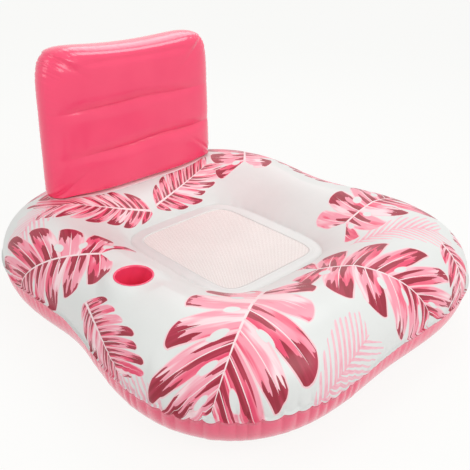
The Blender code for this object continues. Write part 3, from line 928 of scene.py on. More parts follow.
@dataclass(frozen=True)
class FrondPaint:
    """How the thin palm fronds are painted under the full leaves."""

    colours: PrintColours = PrintColours()
    stem_middle: float = 0.5
    stem_half_length: float = 0.56
    stem_half_width: float = 0.007
    stroke_stretch: float = 0.7
    stroke_scale: float = 5.0
    tip_paleness: float = 0.2
    cover: float = 0.9

    def laid(self, below: Wire, kind: LeafKind, place: Wire) -> Wire:
        """Lay the fronds' leaflets and stems over a colour.

        Args:
            below: Colour under them.
            kind: Kind of the fronds.
            place: Place on the flat sheet.

        Returns:
            The colour.
        """
        point = kind.point(kind.nearest(place))
        on_stem = (point.x - self.stem_middle).size().below(self.stem_half_length)
        stem = on_stem * (point.aside * -1.0 + self.stem_half_width).above(0.0)
        shown = point.inside.above(0.0).most(stem)
        tone = point.across.joined(point.along * self.stroke_stretch, point.finger).noise(self.stroke_scale)
        colour = (tone + point.along * self.tip_paleness).ramp((0.35, self.colours.frond),
                                                               (0.66, self.colours.pale_frond))
        return (shown * self.cover).mixed(below, colour)


@dataclass
class LeafPrintVinyl(Finish):
    """White vinyl with a print of split leaves, feather leaves and palm fronds."""

    ground: Colour = (0.77, 0.785, 0.77)
    leaf_paint: LeafPaint = LeafPaint()
    frond_paint: FrondPaint = FrondPaint()
    weld_line_places: tuple[float, ...] = (0.0085, 0.0125, 0.0290, 0.0330)
    weld_line_half_width: float = 0.0014
    weld_line_slope: float = 0.0012
    weld_line_depth: float = 0.6

    def build(self, kinds: Sequence[LeafKind], frond: LeafKind) -> Material:
        """Lay the print over the white and set the vinyl's gloss.

        Args:
            kinds: Leaves with full bodies, from the lowest layer to the highest.
            frond: The thin palm fronds under them.

        Returns:
            The material.
        """
        place = self.place(Coordinates.MAP, "print")
        white = place.noise(9.0, 3.0).clouded(self.ground, 0.96, edge=0.25)
        colour = self.frond_paint.laid(white, frond, place)
        for kind in kinds:
            colour = self.leaf_paint.laid(colour, kind, place)
        self.colour(colour)
        self.roughness(place.noise(38.0, 3.0), spread=0.14, least=0.32)
        self.set(Coat_Weight=0.10, Coat_Roughness=0.20, Specular_IOR_Level=0.38)
        self.relief(self.weld_lines(), 0.0007)
        return self.material

    def weld_lines(self) -> Wire:
        """Emboss the weld lines round the net into the sheet's own fine ripple.

        Returns:
            The height.
        """
        _, distance, _ = self.place(Coordinates.MAP, "section").parts()
        lines = None
        for middle in self.weld_line_places:
            ridge = (distance - middle).size() * -1.0 + self.weld_line_half_width
            ridge = ridge.step(0.0, self.weld_line_slope)
            lines = ridge if lines is None else lines.most(ridge)
        ripple = self.place(Coordinates.OBJECT).noise(26.0)
        return lines * -self.weld_line_depth + ripple


@dataclass
class GlossVinyl(Finish):
    """Plain glossy vinyl film with a faint ripple and small changes of gloss."""

    tint: Colour = (0.92, 0.075, 0.19)
    paling: float = 0.02
    ripple: float = 0.0005
    least_roughness: float = 0.19

    def build(self) -> Material:
        """Fill in the film's colour, gloss and ripple.

        Returns:
            The material.
        """
        place = self.place(Coordinates.OBJECT)
        paler = tuple(value + (1.0 - value) * self.paling for value in self.tint)
        self.colour(place.noise(5.0, 3.0).ramp((0.3, dimmed(self.tint, 0.93)), (0.7, paler)))
        self.roughness(place.noise(9.0), spread=0.06, least=self.least_roughness)
        film = place.vector("MULTIPLY", (1.0, 1.0, 2.6)).noise(6.0, 1.0)
        self.relief(film, self.ripple)
        self.set(Coat_Weight=0.35, Coat_Roughness=0.13)
        return self.material


@dataclass
class ClearVinyl(Finish):
    """Milky soft vinyl of the valves and weld strips."""

    tint: Colour = (0.80, 0.79, 0.76)

    def build(self) -> Material:
        """Fill in the moulded vinyl's colour and gloss.

        Returns:
            The material.
        """
        place = self.place(Coordinates.OBJECT)
        self.colour(place.noise(60.0).clouded(self.tint, 0.92))
        self.roughness(place.noise(220.0), spread=0.16, least=0.30)
        self.relief(place.noise(400.0), 0.0001)
        self.set(Coat_Weight=0.2, Coat_Roughness=0.2)
        return self.material


@dataclass
class WovenNet(Finish):
    """Open weave of coated yarns, laid slantwise across the seat."""

    yarn: Colour = (0.95, 0.92, 0.89)
    # Painted shade: the gap colour stands for the shade seen through the net's holes.
    gap: Colour = (0.48, 0.37, 0.34)
    pitch: float = 0.0046
    slant: float = 0.9

    def build(self) -> Material:
        """Fill in the yarns, painted shade in the gaps between them, and their relief.

        Returns:
            The material.
        """
        place = self.place(Coordinates.MAP, "weave")
        x, y, _ = place.parts()
        turn = math.tau / self.pitch
        directions = (x + y * self.slant, x * self.slant - y)
        first, second = ((along * turn).maths("SINE") * 0.5 + 0.5 for along in directions)
        slow_first, slow_second = ((along * (turn / 2.0)).maths("SINE") for along in directions)
        yarn = first.most(second)
        hole = yarn.step(0.62, 0.30)
        fibre = place.vector("MULTIPLY", (1.0, 5.0, 1.0)).noise(700.0)
        colour = (place.noise(7.0, 3.0) * 0.6 + fibre * 0.4).clouded(self.yarn, 0.90)
        # Painted shade: the holes between the yarns take the dark gap colour.
        self.colour((hole * 0.75).mixed(colour, self.gap))
        self.roughness(fibre, spread=0.2, least=0.55)
        self.relief(yarn * 0.8 + slow_first * slow_second * 0.2, 0.0005)
        self.set(Sheen_Weight=0.15, Sheen_Roughness=0.5)
        return self.material


SPLIT_LEAVES = LeafKind(
    leaves=(Leaf(-0.305, -0.365, 207.0, 0.325, 1.0), Leaf(0.050, -0.430, -62.0, 0.280, 2.0, True),
            Leaf(-0.430, 0.150, 128.0, 0.260, 3.0), Leaf(0.362, -0.215, -8.0, 0.255, 4.0),
            Leaf(0.385, 0.330, 46.0, 0.260, 5.0, True), Leaf(-0.215, 0.545, 97.0, 0.240, 6.0)),
    slant=-0.36, fan=1.9, bend=0.30, fingers=5.6, half_width=0.47, start=-0.24, blunt_power=0.5, gap=0.21,
    gap_start=0.40, notch=0.9, tip_round=0.26, dark_share=0.88, holes=LeafHoles(share=0.55))
FEATHER_LEAVES = LeafKind(
    leaves=(Leaf(-0.165, 0.285, 160.0, 0.265, 11.0), Leaf(0.075, 0.280, 14.0, 0.240, 12.0, True),
            Leaf(0.285, -0.545, -95.0, 0.230, 13.0), Leaf(0.425, 0.030, 82.0, 0.230, 14.0),
            Leaf(-0.500, -0.120, 250.0, 0.220, 15.0, True), Leaf(0.110, 0.520, 80.0, 0.250, 16.0),
            Leaf(0.500, -0.430, 200.0, 0.180, 17.0)),
    slant=0.42, fan=1.1, bend=0.5, fingers=7.5, half_width=0.30, start=-0.03, blunt_power=0.45, gap=0.15,
    gap_start=0.45, notch=3.0, tip_round=0.20, dark_share=0.72)
PALM_FRONDS = LeafKind(
    leaves=(Leaf(-0.205, -0.560, 15.0, 0.200, 21.0), Leaf(0.245, -0.345, -35.0, 0.200, 22.0),
            Leaf(-0.340, 0.330, 200.0, 0.180, 23.0), Leaf(0.500, 0.280, 70.0, 0.180, 24.0),
            Leaf(-0.560, -0.300, 100.0, 0.170, 25.0), Leaf(0.020, 0.420, 150.0, 0.170, 26.0)),
    slant=0.85, fan=0.35, bend=0.3, fingers=11.0, half_width=0.33, start=-0.02, blunt_power=0.4, gap=0.36,
    gap_start=-0.9, notch=3.0, tip_round=0.5, dark_share=0.0, middle=0.5)


@dataclass(frozen=True)
class RingShape:
    """Form of the ring, by the sizes and waves that its solids have."""

    outer_radius: float = 0.5269
    outer_lengthening: float = 0.0450
    outer_rear_reach: float = 0.0116
    outer_taper: float = 0.0228
    outer_lobes: float = 0.0415
    crest_inset: float = 0.1638
    crest_lengthening: float = 0.0277
    crest_forward: float = 0.0045
    crest_lobes: float = 0.0369
    seat_half_width: float = 0.1830
    seat_half_length: float = 0.2069
    seat_setback: float = 0.0094
    seat_corner_power: float = 4.5
    opening_corner_power: float = 8.0
    seat_band_width: float = 0.0370
    seat_strip_drop: float = 0.0012
    tube_half_height: float = 0.1173
    tube_reference_width: float = 0.36
    tube_swell_share: float = 0.14
    outer_power: float = 0.93
    inner_power: float = 1.55
    underside_power: float = 0.80
    outer_seam_height: float = 0.1115
    inner_seam_height: float = 0.1425
    outer_lip: float = 0.005

    def outer(self, turn: Array) -> Array:
        """Radius of the outer seam.

        Args:
            turn: Turns about Z from +X.

        Returns:
            The radius at each turn.
        """
        long_side = -self.outer_lengthening * np.cos(2 * turn) + self.outer_rear_reach * np.sin(turn)
        lobes = -self.outer_taper * np.sin(3 * turn) - self.outer_lobes * np.cos(4 * turn)
        return self.outer_radius + long_side + lobes

    def crest(self, turn: Array) -> Array:
        """Radius of the crest at a turn about Z from +X."""
        long_side = -self.crest_lengthening * np.cos(2 * turn) - self.crest_forward * np.sin(turn)
        return self.outer_radius - self.crest_inset + long_side - self.crest_lobes * np.cos(4 * turn)

    def rounded_rectangle(self, turn: Array, inset: float, power: float) -> Array:
        """Radius of the seat's rounded rectangle, drawn in by an inset. More power squares its corners."""
        wide, long = self.seat_half_width - inset, self.seat_half_length - inset
        return (np.abs(np.cos(turn) / wide) ** power + np.abs(np.sin(turn) / long) ** power) ** (-1 / power)

    def seam(self, turn: Array) -> Array:
        """Radius of the inner seam at a turn about Z."""
        return self.rounded_rectangle(turn, 0.0, self.seat_corner_power)

    def opening(self, turn: Array) -> Array:
        """Radius of the net's opening at a turn about Z."""
        return self.rounded_rectangle(turn, self.seat_band_width, self.opening_corner_power)

    def middle(self) -> float:
        """Find the distance along Y that centres the ring's box.

        Returns:
            The distance.
        """
        turn = np.linspace(0.0, math.tau, 720)
        reach = (self.outer(turn) + self.outer_lip) * np.sin(turn)
        return -float(reach.min() + reach.max()) / 2.0

    def seat_middle(self) -> float:
        """Distance along Y of the seat's middle."""
        return self.seat_setback + self.middle()

    def crown(self, turn: Array) -> Array:
        """Full height of the tube: a wider stretch also stands taller."""
        excess = (self.outer(turn) - self.seam(turn)) / self.tube_reference_width - 1.0
        return 2.0 * self.tube_half_height * (1.0 + self.tube_swell_share * excess)

    def tube(self, turn: Array, angle: Array) -> Array:
        """Points of the tube's outside.

        Args:
            turn: Turns about Z, as a column.
            angle: Angles round the tube from its outer seam, as a row.

        Returns:
            Array of turns by angles by 3.
        """
        outer_half = np.cos(angle) > 0.0
        power = np.where(outer_half, self.outer_power, self.inner_power)
        power = np.where(outer_half & (np.sin(angle) < 0.0), self.underside_power, power)
        across = signed_power(np.cos(angle), power)
        rise = signed_power(np.sin(angle), power)
        crest = self.crest(turn)
        width = np.where(outer_half, self.outer(turn) - crest, crest - self.seam(turn))
        seam = np.where(outer_half, self.outer_seam_height, self.inner_seam_height)
        height = seam + np.where(rise > 0.0, self.crown(turn) - seam, seam) * rise
        shift = self.middle() - self.seat_setback * np.minimum(across, 0.0)
        return turned_points(turn, crest + width * across, np.maximum(height, 0.0), y=shift)

    def band(self, turn: Array, share: Array, drop: float = 0.0) -> Array:
        """Points of the seat's flat band, by their share of the way from the inner seam to the opening."""
        radius = self.seam(turn) + (self.opening(turn) - self.seam(turn)) * share
        return turned_points(turn, radius, self.inner_seam_height - drop, y=self.seat_middle())


@dataclass(frozen=True)
class Gathers:
    """Gathers that the ring's outer weld draws into both skins.

    Each of its lobes is a heading and a spread in degrees, and the share that it adds there.
    """

    count: int = 136
    spacing: tuple[Wave, ...] = ((1.3, 7, 0.4), (1.0, 17, 2.1), (0.7, 31, 1.3), (0.5, 47, 0.2))
    height: float = 0.0034
    lowest: float = 0.45
    height_luck: float = 0.95
    sinking: float = 0.55
    reach: float = 0.034
    shortest: float = 0.55
    reach_luck: float = 1.1
    hump_power: float = 0.75
    fade_power: float = 1.25
    strength_share: float = 0.10
    strength_waves: tuple[Wave, ...] = ((0.04, 5, 1.0), (0.04, 13, 2.0))
    strength_limits: tuple[float, float] = (0.06, 1.2)
    lobes: tuple[tuple[float, float, float], ...] = (
        (229.0, 31.0, 0.98), (128.0, 26.0, 0.30), (52.0, 26.0, 0.30))
    seam_sway: float = 0.0052
    seam_wave: float = 0.0016
    seam_waves: tuple[Wave, ...] = ((0.0010, 23, 0.3), (0.0008, 37, 1.9), (0.0012, 11, 0.8))

    def phase(self, turn: Array) -> Array:
        """Phase of the gathers, unevenly spaced round the ring."""
        return self.count * turn + waves(turn, self.spacing)

    def numbered(self, phase: Array) -> Array:
        """Number of each gather, the same on both sides of the seam where the turn closes."""
        return np.mod(np.floor(phase / math.tau), self.count)

    def strength(self, turn: Array) -> Array:
        """Share of the full gather, most at the near front lobe and some at the rear lobes.

        Args:
            turn: Turns about Z.

        Returns:
            The share at each turn.
        """
        share = self.strength_share + waves(turn, self.strength_waves)
        for heading, spread, height in self.lobes:
            away = np.mod(turn - math.radians(heading) + math.pi, math.tau) - math.pi
            share = share + height * bell(away, 0.0, math.radians(spread))
        return np.clip(share, *self.strength_limits)

    def bulge(self, turn: Array, distance: Array, seed: float) -> Array:
        """Height of the gathers above the plain skin.

        Args:
            turn: Turns about Z.
            distance: Distance from the outer weld.
            seed: Number that sets one skin's gathers apart.

        Returns:
            Height at each turn and distance.
        """
        phase = self.phase(turn)
        index = self.numbered(phase)
        hump = np.abs(np.sin(phase / 2.0)) ** self.hump_power
        tall = self.lowest + self.height_luck * chance(index, seed)
        long_way = self.reach * (self.shortest + self.reach_luck * chance(index, seed + 1.0))
        fade = bell(distance, 0.0, long_way, self.fade_power)
        even = bell(distance, 0.0, self.reach, self.fade_power)
        return self.height * self.strength(turn) * (tall * hump * fade - self.sinking * even)

    def sway(self, turn: Array, distance: Array) -> tuple[Array, Array]:
        """Sway of the weld, which both skins share and which fades along them.

        Args:
            turn: Turns about Z.
            distance: Distance from the outer weld.

        Returns:
            The outward and the upward sway.
        """
        phase = self.phase(turn)
        hump = np.abs(np.sin(phase / 2.0))
        tall = 0.5 + chance(self.numbered(phase), 5.0)
        fade = bell(distance, 0.0, self.reach * 0.8, 1.5)
        outward = self.seam_wave * self.strength(turn) * (hump - 0.6)
        upward = -self.seam_sway * self.strength(turn) * (tall * hump ** 0.6 - 0.6)
        upward = upward + waves(turn, self.seam_waves)
        return outward * fade, upward * fade


@dataclass
class Ring:
    """Air ring: its printed upper skin and its pink lower skin, welded at the lip."""

    upper_vinyl: Material
    lower_vinyl: Material
    shape: RingShape = RingShape()
    gathers: Gathers = Gathers()
    columns: int = 1360
    crowding: float = 0.35
    upper_stations: int = 42
    lower_stations: int = 30
    band_stations: int = 8
    lower_band_share: float = 0.36
    skin: float = 0.0007
    band_lift: float = 0.0012
    band_lift_edge: float = 0.0300
    gather_gain: float = 0.35
    gather_gain_reach: float = 0.008
    dent_depth: float = 0.012
    dent_half_width: float = 0.27
    dent_middle: float = 0.335
    dent_half_length: float = 0.055
    dent_floor: float = 0.15
    ripple_height: float = 0.0006
    ripple_count: int = 40
    ripple_reach: float = 0.02

    def turns(self) -> Array:
        """Turns of the columns, closer together on the diagonals."""
        even = np.linspace(0.0, math.tau, self.columns + 1)[:, None]
        return even + self.crowding / 4.0 * np.sin(4.0 * even)

    def whole_skin(self, turn: Array, tube: Array, band: Array) -> tuple[Array, Array]:
        """Put a skin's outer lip, tube and inner band together.

        Args:
            turn: Turns about Z, as a column.
            tube: Points of the tube, from its outer seam inwards.
            band: Points of the band.

        Returns:
            The points from the lip inwards, and their distance along the skin from the lip's edge.
        """
        lip = tube[:, :1] + turned_points(turn, 1.0, 0.0) * self.shape.outer_lip
        points = np.concatenate([lip, tube, band], axis=1)
        step = np.linalg.norm(np.diff(points, axis=1), axis=2)
        return points, np.concatenate([np.zeros((len(turn), 1)), np.cumsum(step, axis=1)], axis=1)

    def upper_points(self, turn: Array) -> tuple[Array, Array]:
        """Points of the plain upper skin and their distance from the net's opening.

        Args:
            turn: Turns about Z, as a column.

        Returns:
            The points, from the lip to the opening, and the distances.
        """
        tube = self.shape.tube(turn, math.pi * eased_stations(self.upper_stations, 0.55, 1.8))
        band = self.shape.band(turn, np.linspace(0.0, 1.0, self.band_stations + 1)[None, 1:])
        points, total = self.whole_skin(turn, tube, band)
        return points, total[:, -1:] - total

    def lower_points(self, turn: Array) -> tuple[Array, Array]:
        """Points of the plain lower skin and their distance from the lip's edge.

        Args:
            turn: Turns about Z, as a column.

        Returns:
            The points, from the lip to the band, and the distances.
        """
        tube = self.shape.tube(turn, -math.pi * eased_stations(self.lower_stations, 0.5, 1.5))
        band = self.shape.band(turn, np.array([[self.lower_band_share]]), self.shape.seat_strip_drop)
        return self.whole_skin(turn, tube, band)

    def dent(self, points: Array) -> Array:
        """Depth to which the backrest's foot presses the ring's top.

        Args:
            points: Points of the upper skin.

        Returns:
            The depth at each point.
        """
        wide = bell(points[..., 0], 0.0, self.dent_half_width, 6.0)
        long = bell(points[..., 1], self.dent_middle, self.dent_half_length)
        return self.dent_depth * wide * long * (points[..., 2] > self.dent_floor)

    def ripple(self, turn: Array, distance: Array) -> Array:
        """Height of the fine ripple that the band's weld draws into the upper skin beyond it.

        Args:
            turn: Turns about Z, as a column.
            distance: Distance from the net's opening along the skin.

        Returns:
            The height at each turn and distance.
        """
        beyond = distance - self.shape.seat_band_width
        fade = bell(np.maximum(beyond, 0.0), 0.0, self.ripple_reach) * (beyond > 0.0)
        return self.ripple_height * np.sin(self.ripple_count * turn) * fade

    def gathered(self, points: Array, turn: Array, distance: Array, seed: float) -> Array:
        """Draw the gathers of the outer weld into a plain skin.

        Args:
            points: Points of the skin.
            turn: Turns about Z.
            distance: Distance from the outer weld.
            seed: Number that sets one skin's gathers apart.

        Returns:
            The moved points.
        """
        normal = surface_normals(points)
        normal[0] = normal[-1] = (normal[0] + normal[-1]) / 2.0
        radial = turned_points(turn, 1.0, 0.0)
        facing = np.sum(normal[:, 2:6] * radial, axis=(1, 2), keepdims=True)
        normal = normal * np.where(facing > 0.0, 1.0, -1.0)
        bulge = self.gathers.bulge(turn, distance, seed)
        outward, upward = self.gathers.sway(turn, distance)
        change = normal * np.where(distance > 0.0, bulge, 0.0)[..., None]
        change = change + radial * outward[..., None] + grid_of(0.0, 0.0, upward)
        gain = 1.0 + self.gather_gain * smooth_step(0.0, self.gather_gain_reach, distance)
        return points + change * gain[..., None]

    def print_map(self, turn: Array, distance: Array) -> Array:
        """Place of each point on the flat sheet as it was printed, in metres from the seat's middle."""
        return turned_points(turn, self.shape.opening(turn) + distance, 0.0)[..., :2]

    def build_upper(self, cup: "CupHolder", valve: "AirValve") -> bpy.types.Object:
        """Printed upper skin with its lip, its band round the net and the holes of the cup and the valve.

        Args:
            cup: Cup holder that it is cut for.
            valve: Valve that it is cut for.

        Returns:
            The piece.
        """
        turn = self.turns()
        points, distance = self.upper_points(turn)
        from_weld = np.maximum(distance[:, 1:2] - distance, 0.0)
        skin = self.gathered(points, turn, from_weld, seed=3.0)
        lift = self.band_lift * smooth_step(self.shape.seat_band_width, self.band_lift_edge, distance)
        skin[..., 2] += self.skin - self.dent(points) + lift
        skin[..., 2] += self.ripple(turn, distance)
        skin = hemmed(skin)
        skin[:, 0, 2] -= self.skin
        skin[:, -1, 2] -= 2.0 * self.skin + self.band_lift
        maps = {"print": hemmed(self.print_map(turn, distance)),
                "section": hemmed(grid_of(turn / math.tau, distance))}
        work = shaped_grid("ring_upper_skin", skin, Side.UP, maps, closed=True)
        cup.cut_mouth(work)
        valve.cut_seat(work)
        return finished_piece("ring_upper_skin", work, self.upper_vinyl, "ring", ["ring_top_sheet"])

    def build_lower(self) -> None:
        """Pink lower skin with its lip."""
        turn = self.turns()
        points, distance = self.lower_points(turn)
        from_weld = np.maximum(distance - distance[:, 1:2], 0.0)
        skin = self.gathered(points, turn, from_weld, seed=9.0)
        skin[:, :3, 2] -= self.skin
        skin[..., 2] = np.maximum(skin[..., 2], 0.0)
        skin = hemmed(skin, both_ends=False)
        skin[:, 0, 2] += self.skin
        maps = {"section": hemmed(grid_of(turn / math.tau, distance), both_ends=False)}
        work = shaped_grid("ring_lower_skin", skin, Side.DOWN, maps, closed=True)
        finished_piece("ring_lower_skin", work, self.lower_vinyl, "ring", ["ring_bottom_sheet"])


@dataclass
class CupHolder:
    """Cup holder in the sitter's right arm: a thin rolled mouth, the tube's wall and its floor."""

    vinyl: Material
    middle: Point = (-0.33483, -0.10656, 0.22693)
    radius: float = 0.038
    wall: float = 0.0006
    depth: float = 0.095
    sides: int = 96
    lip: float = 0.0035
    lip_level: float = 0.0004
    lip_rise: float = 0.0011
    wall_top: float = 0.0008
    wall_slack: float = 0.0004
    wall_taper: float = 0.0006
    wall_sway: float = 0.0012
    floor_slack: float = 0.0008
    fillet_top: float = 0.004
    fillet_height: float = 0.006
    fillet_share: float = 0.22
    floor_crown: float = 0.0015

    def cut_mouth(self, work: Shape) -> None:
        """Level the ring's skin round the cup's mouth and cut its hole.

        Args:
            work: The skin.
        """
        place = Matrix.Translation(self.middle)
        press_flat(work, place, 1.12 * self.radius, 2.1 * self.radius)
        cut_round_hole(work, place, self.radius + self.wall, 2.0 * self.radius, self.sides)

    def build(self, ground: Ground) -> None:
        """Mouth, wall and floor of the cup holder.

        Args:
            ground: Finds the height of the ring's upper skin.
        """
        x, y, _ = self.middle
        turn = np.linspace(0.0, math.tau, self.sides + 1)[:, None]
        beside = self.radius * 1.05
        top = levels(ground, x + beside * np.cos(turn), y + beside * np.sin(turn))
        self.build_lip(turn, top)
        self.build_wall(turn, top)
        self.build_floor(turn)

    def shaped(self, name: str, turn: Array, radius: Array, height: Array) -> Shape:
        """Closed skin round the cup's axis."""
        x, y, _ = self.middle
        return shaped_grid(name, turned_points(turn, radius, height, x, y), Side.UP, closed=True)

    def build_lip(self, turn: Array, top: Array) -> None:
        """Thin rolled lip, welded on the ring round the mouth.

        Args:
            turn: Turns about the cup's axis.
            top: Height of the ring at each turn.
        """
        angle = np.linspace(0.0, math.pi, 9)[None, :]
        radius = self.radius + self.lip / 2.0 + self.lip / 2.0 * np.cos(angle)
        height = top + self.lip_level + self.lip_rise * np.sin(angle) ** 0.7
        work = self.shaped("cup_lip", turn, radius, height)
        finished_piece("cup_lip", work, self.vinyl, "ring", ["cup_rim"])

    def build_wall(self, turn: Array, top: Array) -> None:
        """Wall of the cup, a little uneven as soft vinyl is, from the lip to the floor's fillet.

        Args:
            turn: Turns about the cup's axis.
            top: Height of the ring at each turn.
        """
        share = np.linspace(0.0, 1.0, 25)[None, :]
        bottom = self.middle[2] - self.depth + self.fillet_top
        height = top + self.wall_top + (bottom - top) * share
        uneven = waves(turn, ((self.wall_sway, 3, 5.0 * share), (self.wall_sway / 2.0, 9, -7.0 * share)))
        radius = self.radius - self.wall_taper * share + np.sin(math.pi * share) * uneven - self.wall_slack
        work = self.shaped("cup_wall", turn, radius, height)
        middle = Vector(self.middle)
        outside = [face for face in work.faces
                   if (face.calc_center_median() - middle).xy.dot(face.normal.xy) > 0.0]
        bmesh.ops.reverse_faces(work, faces=outside)
        piece = finished_piece("cup_wall", work, self.vinyl, "ring", ["cup_well"])
        thicken(piece, self.wall)

    def build_floor(self, turn: Array) -> None:
        """Floor of the cup, rounded up to the wall and slightly crowned.

        Args:
            turn: Turns about the cup's axis.
        """
        share = np.linspace(0.0, 1.0, 17)[None, :]
        radius = (self.radius - self.floor_slack) * (1.0 - share)
        fillet = self.fillet_height * np.clip(1.0 - share / self.fillet_share, 0.0, 1.0) ** 2
        height = self.middle[2] - self.depth + fillet + self.floor_crown * (share - 0.3) ** 2
        work = self.shaped("cup_base", turn, radius, height)
        finished_piece("cup_base", work, self.vinyl, "ring", ["cup_floor"])


@dataclass
class SeatNet:
    """Woven net of the seat, stretched between the ring's band and a strip below."""

    weave: Material
    strip_vinyl: Material
    shape: RingShape = RingShape()
    sag: float = 0.008
    ripple: float = 0.0007
    weld_share: float = 0.9
    cells: int = 72
    thickness: float = 0.0008
    strip_thickness: float = 0.0005
    strip_shares: tuple[float, float] = (0.30, 0.92)
    strip_sag: float = 0.0003

    def points(self, share: Array, turn: Array) -> Array:
        """Points of the net.

        Args:
            share: 0 at its middle, 1 at the opening's edge and 2 at its welded border, as a row.
            turn: Turns about Z, as a column.

        Returns:
            Array of turns by shares by 3.
        """
        opening = self.shape.opening(turn)
        border = opening + (self.shape.seam(turn) - opening) * self.weld_share
        open_share = np.minimum(share, 1.0)
        radius = opening * open_share + (border - opening) * np.maximum(share - 1.0, 0.0)
        dip = self.sag * (1.0 - open_share ** 2)
        ripple = self.ripple * np.sin(11 * turn + 9.0 * share) * open_share ** 3 * (share < 1.0)
        return turned_points(turn, radius, self.shape.inner_seam_height - dip - ripple,
                             y=self.shape.seat_middle())

    def build(self) -> None:
        """Net and the strip welded under its edge."""
        turn = np.linspace(0.0, math.tau, 4 * self.cells + 1)[:, None]
        share = np.concatenate([np.linspace(0.0, 1.0, self.cells // 2 + 1), [1.5, 2.0]])[None, :]
        points = self.points(share, turn)
        work = shaped_grid("seat_mesh", points, Side.UP, {"weave": points[..., :2].copy()}, closed=True)
        piece = finished_piece("seat_mesh", work, self.weave, "ring", ["seat_net"])
        thicken(piece, self.thickness, offset=0.0)
        self.build_strip(turn)

    def build_strip(self, turn: Array) -> None:
        """Strip that holds the net from below.

        Args:
            turn: Turns about Z, as a column.
        """
        outer, inner = self.strip_shares
        share = np.linspace(outer, inner, 7)[None, :]
        points = self.shape.band(turn, share, self.shape.seat_strip_drop)
        points[..., 2] -= self.strip_sag * np.sin(math.pi * (share - outer) / (inner - outer))
        work = shaped_grid("seat_under_strip", points, Side.DOWN, closed=True)
        piece = finished_piece("seat_under_strip", work, self.strip_vinyl, "ring", ["seat_weld_strip"])
        thicken(piece, self.strip_thickness)


@dataclass(frozen=True)
class Crease:
    """Level crease that one of the backrest's webs draws in: a broad dip with a sharp fold in it."""

    height: float
    shift: float
    strength: float
    dip_depth: float = 0.0056
    dip_width: float = 0.015
    fold_depth: float = 0.0062
    fold_width: float = 0.0030
    half_length: float = 0.20
    least_dip: float = 0.35

    def depth(self, x: Array, height: Array, index: int, fold_share: float) -> Array:
        """Depth of the crease, which wavers and fades to both sides.

        Args:
            x: Place across the backrest.
            height: Height above its foot.
            index: Number of the crease, which sets its waver apart.
            fold_share: Share of the full fold on this face.

        Returns:
            The depth at each point.
        """
        waver = 0.0035 * np.sin(9.0 * x + 1.7 * index) + 0.0015 * np.sin(31.0 * x + index)
        away = height - self.height - waver
        extent = bell(x, self.shift, self.half_length, 4.0)
        dip = self.dip_depth * bell(away, 0.0, self.dip_width)
        fold = self.fold_depth * bell(away, 0.0, self.fold_width, 1.0)
        return self.strength * (dip * (self.least_dip + (1.0 - self.least_dip) * extent)
                                + fold * extent * fold_share)


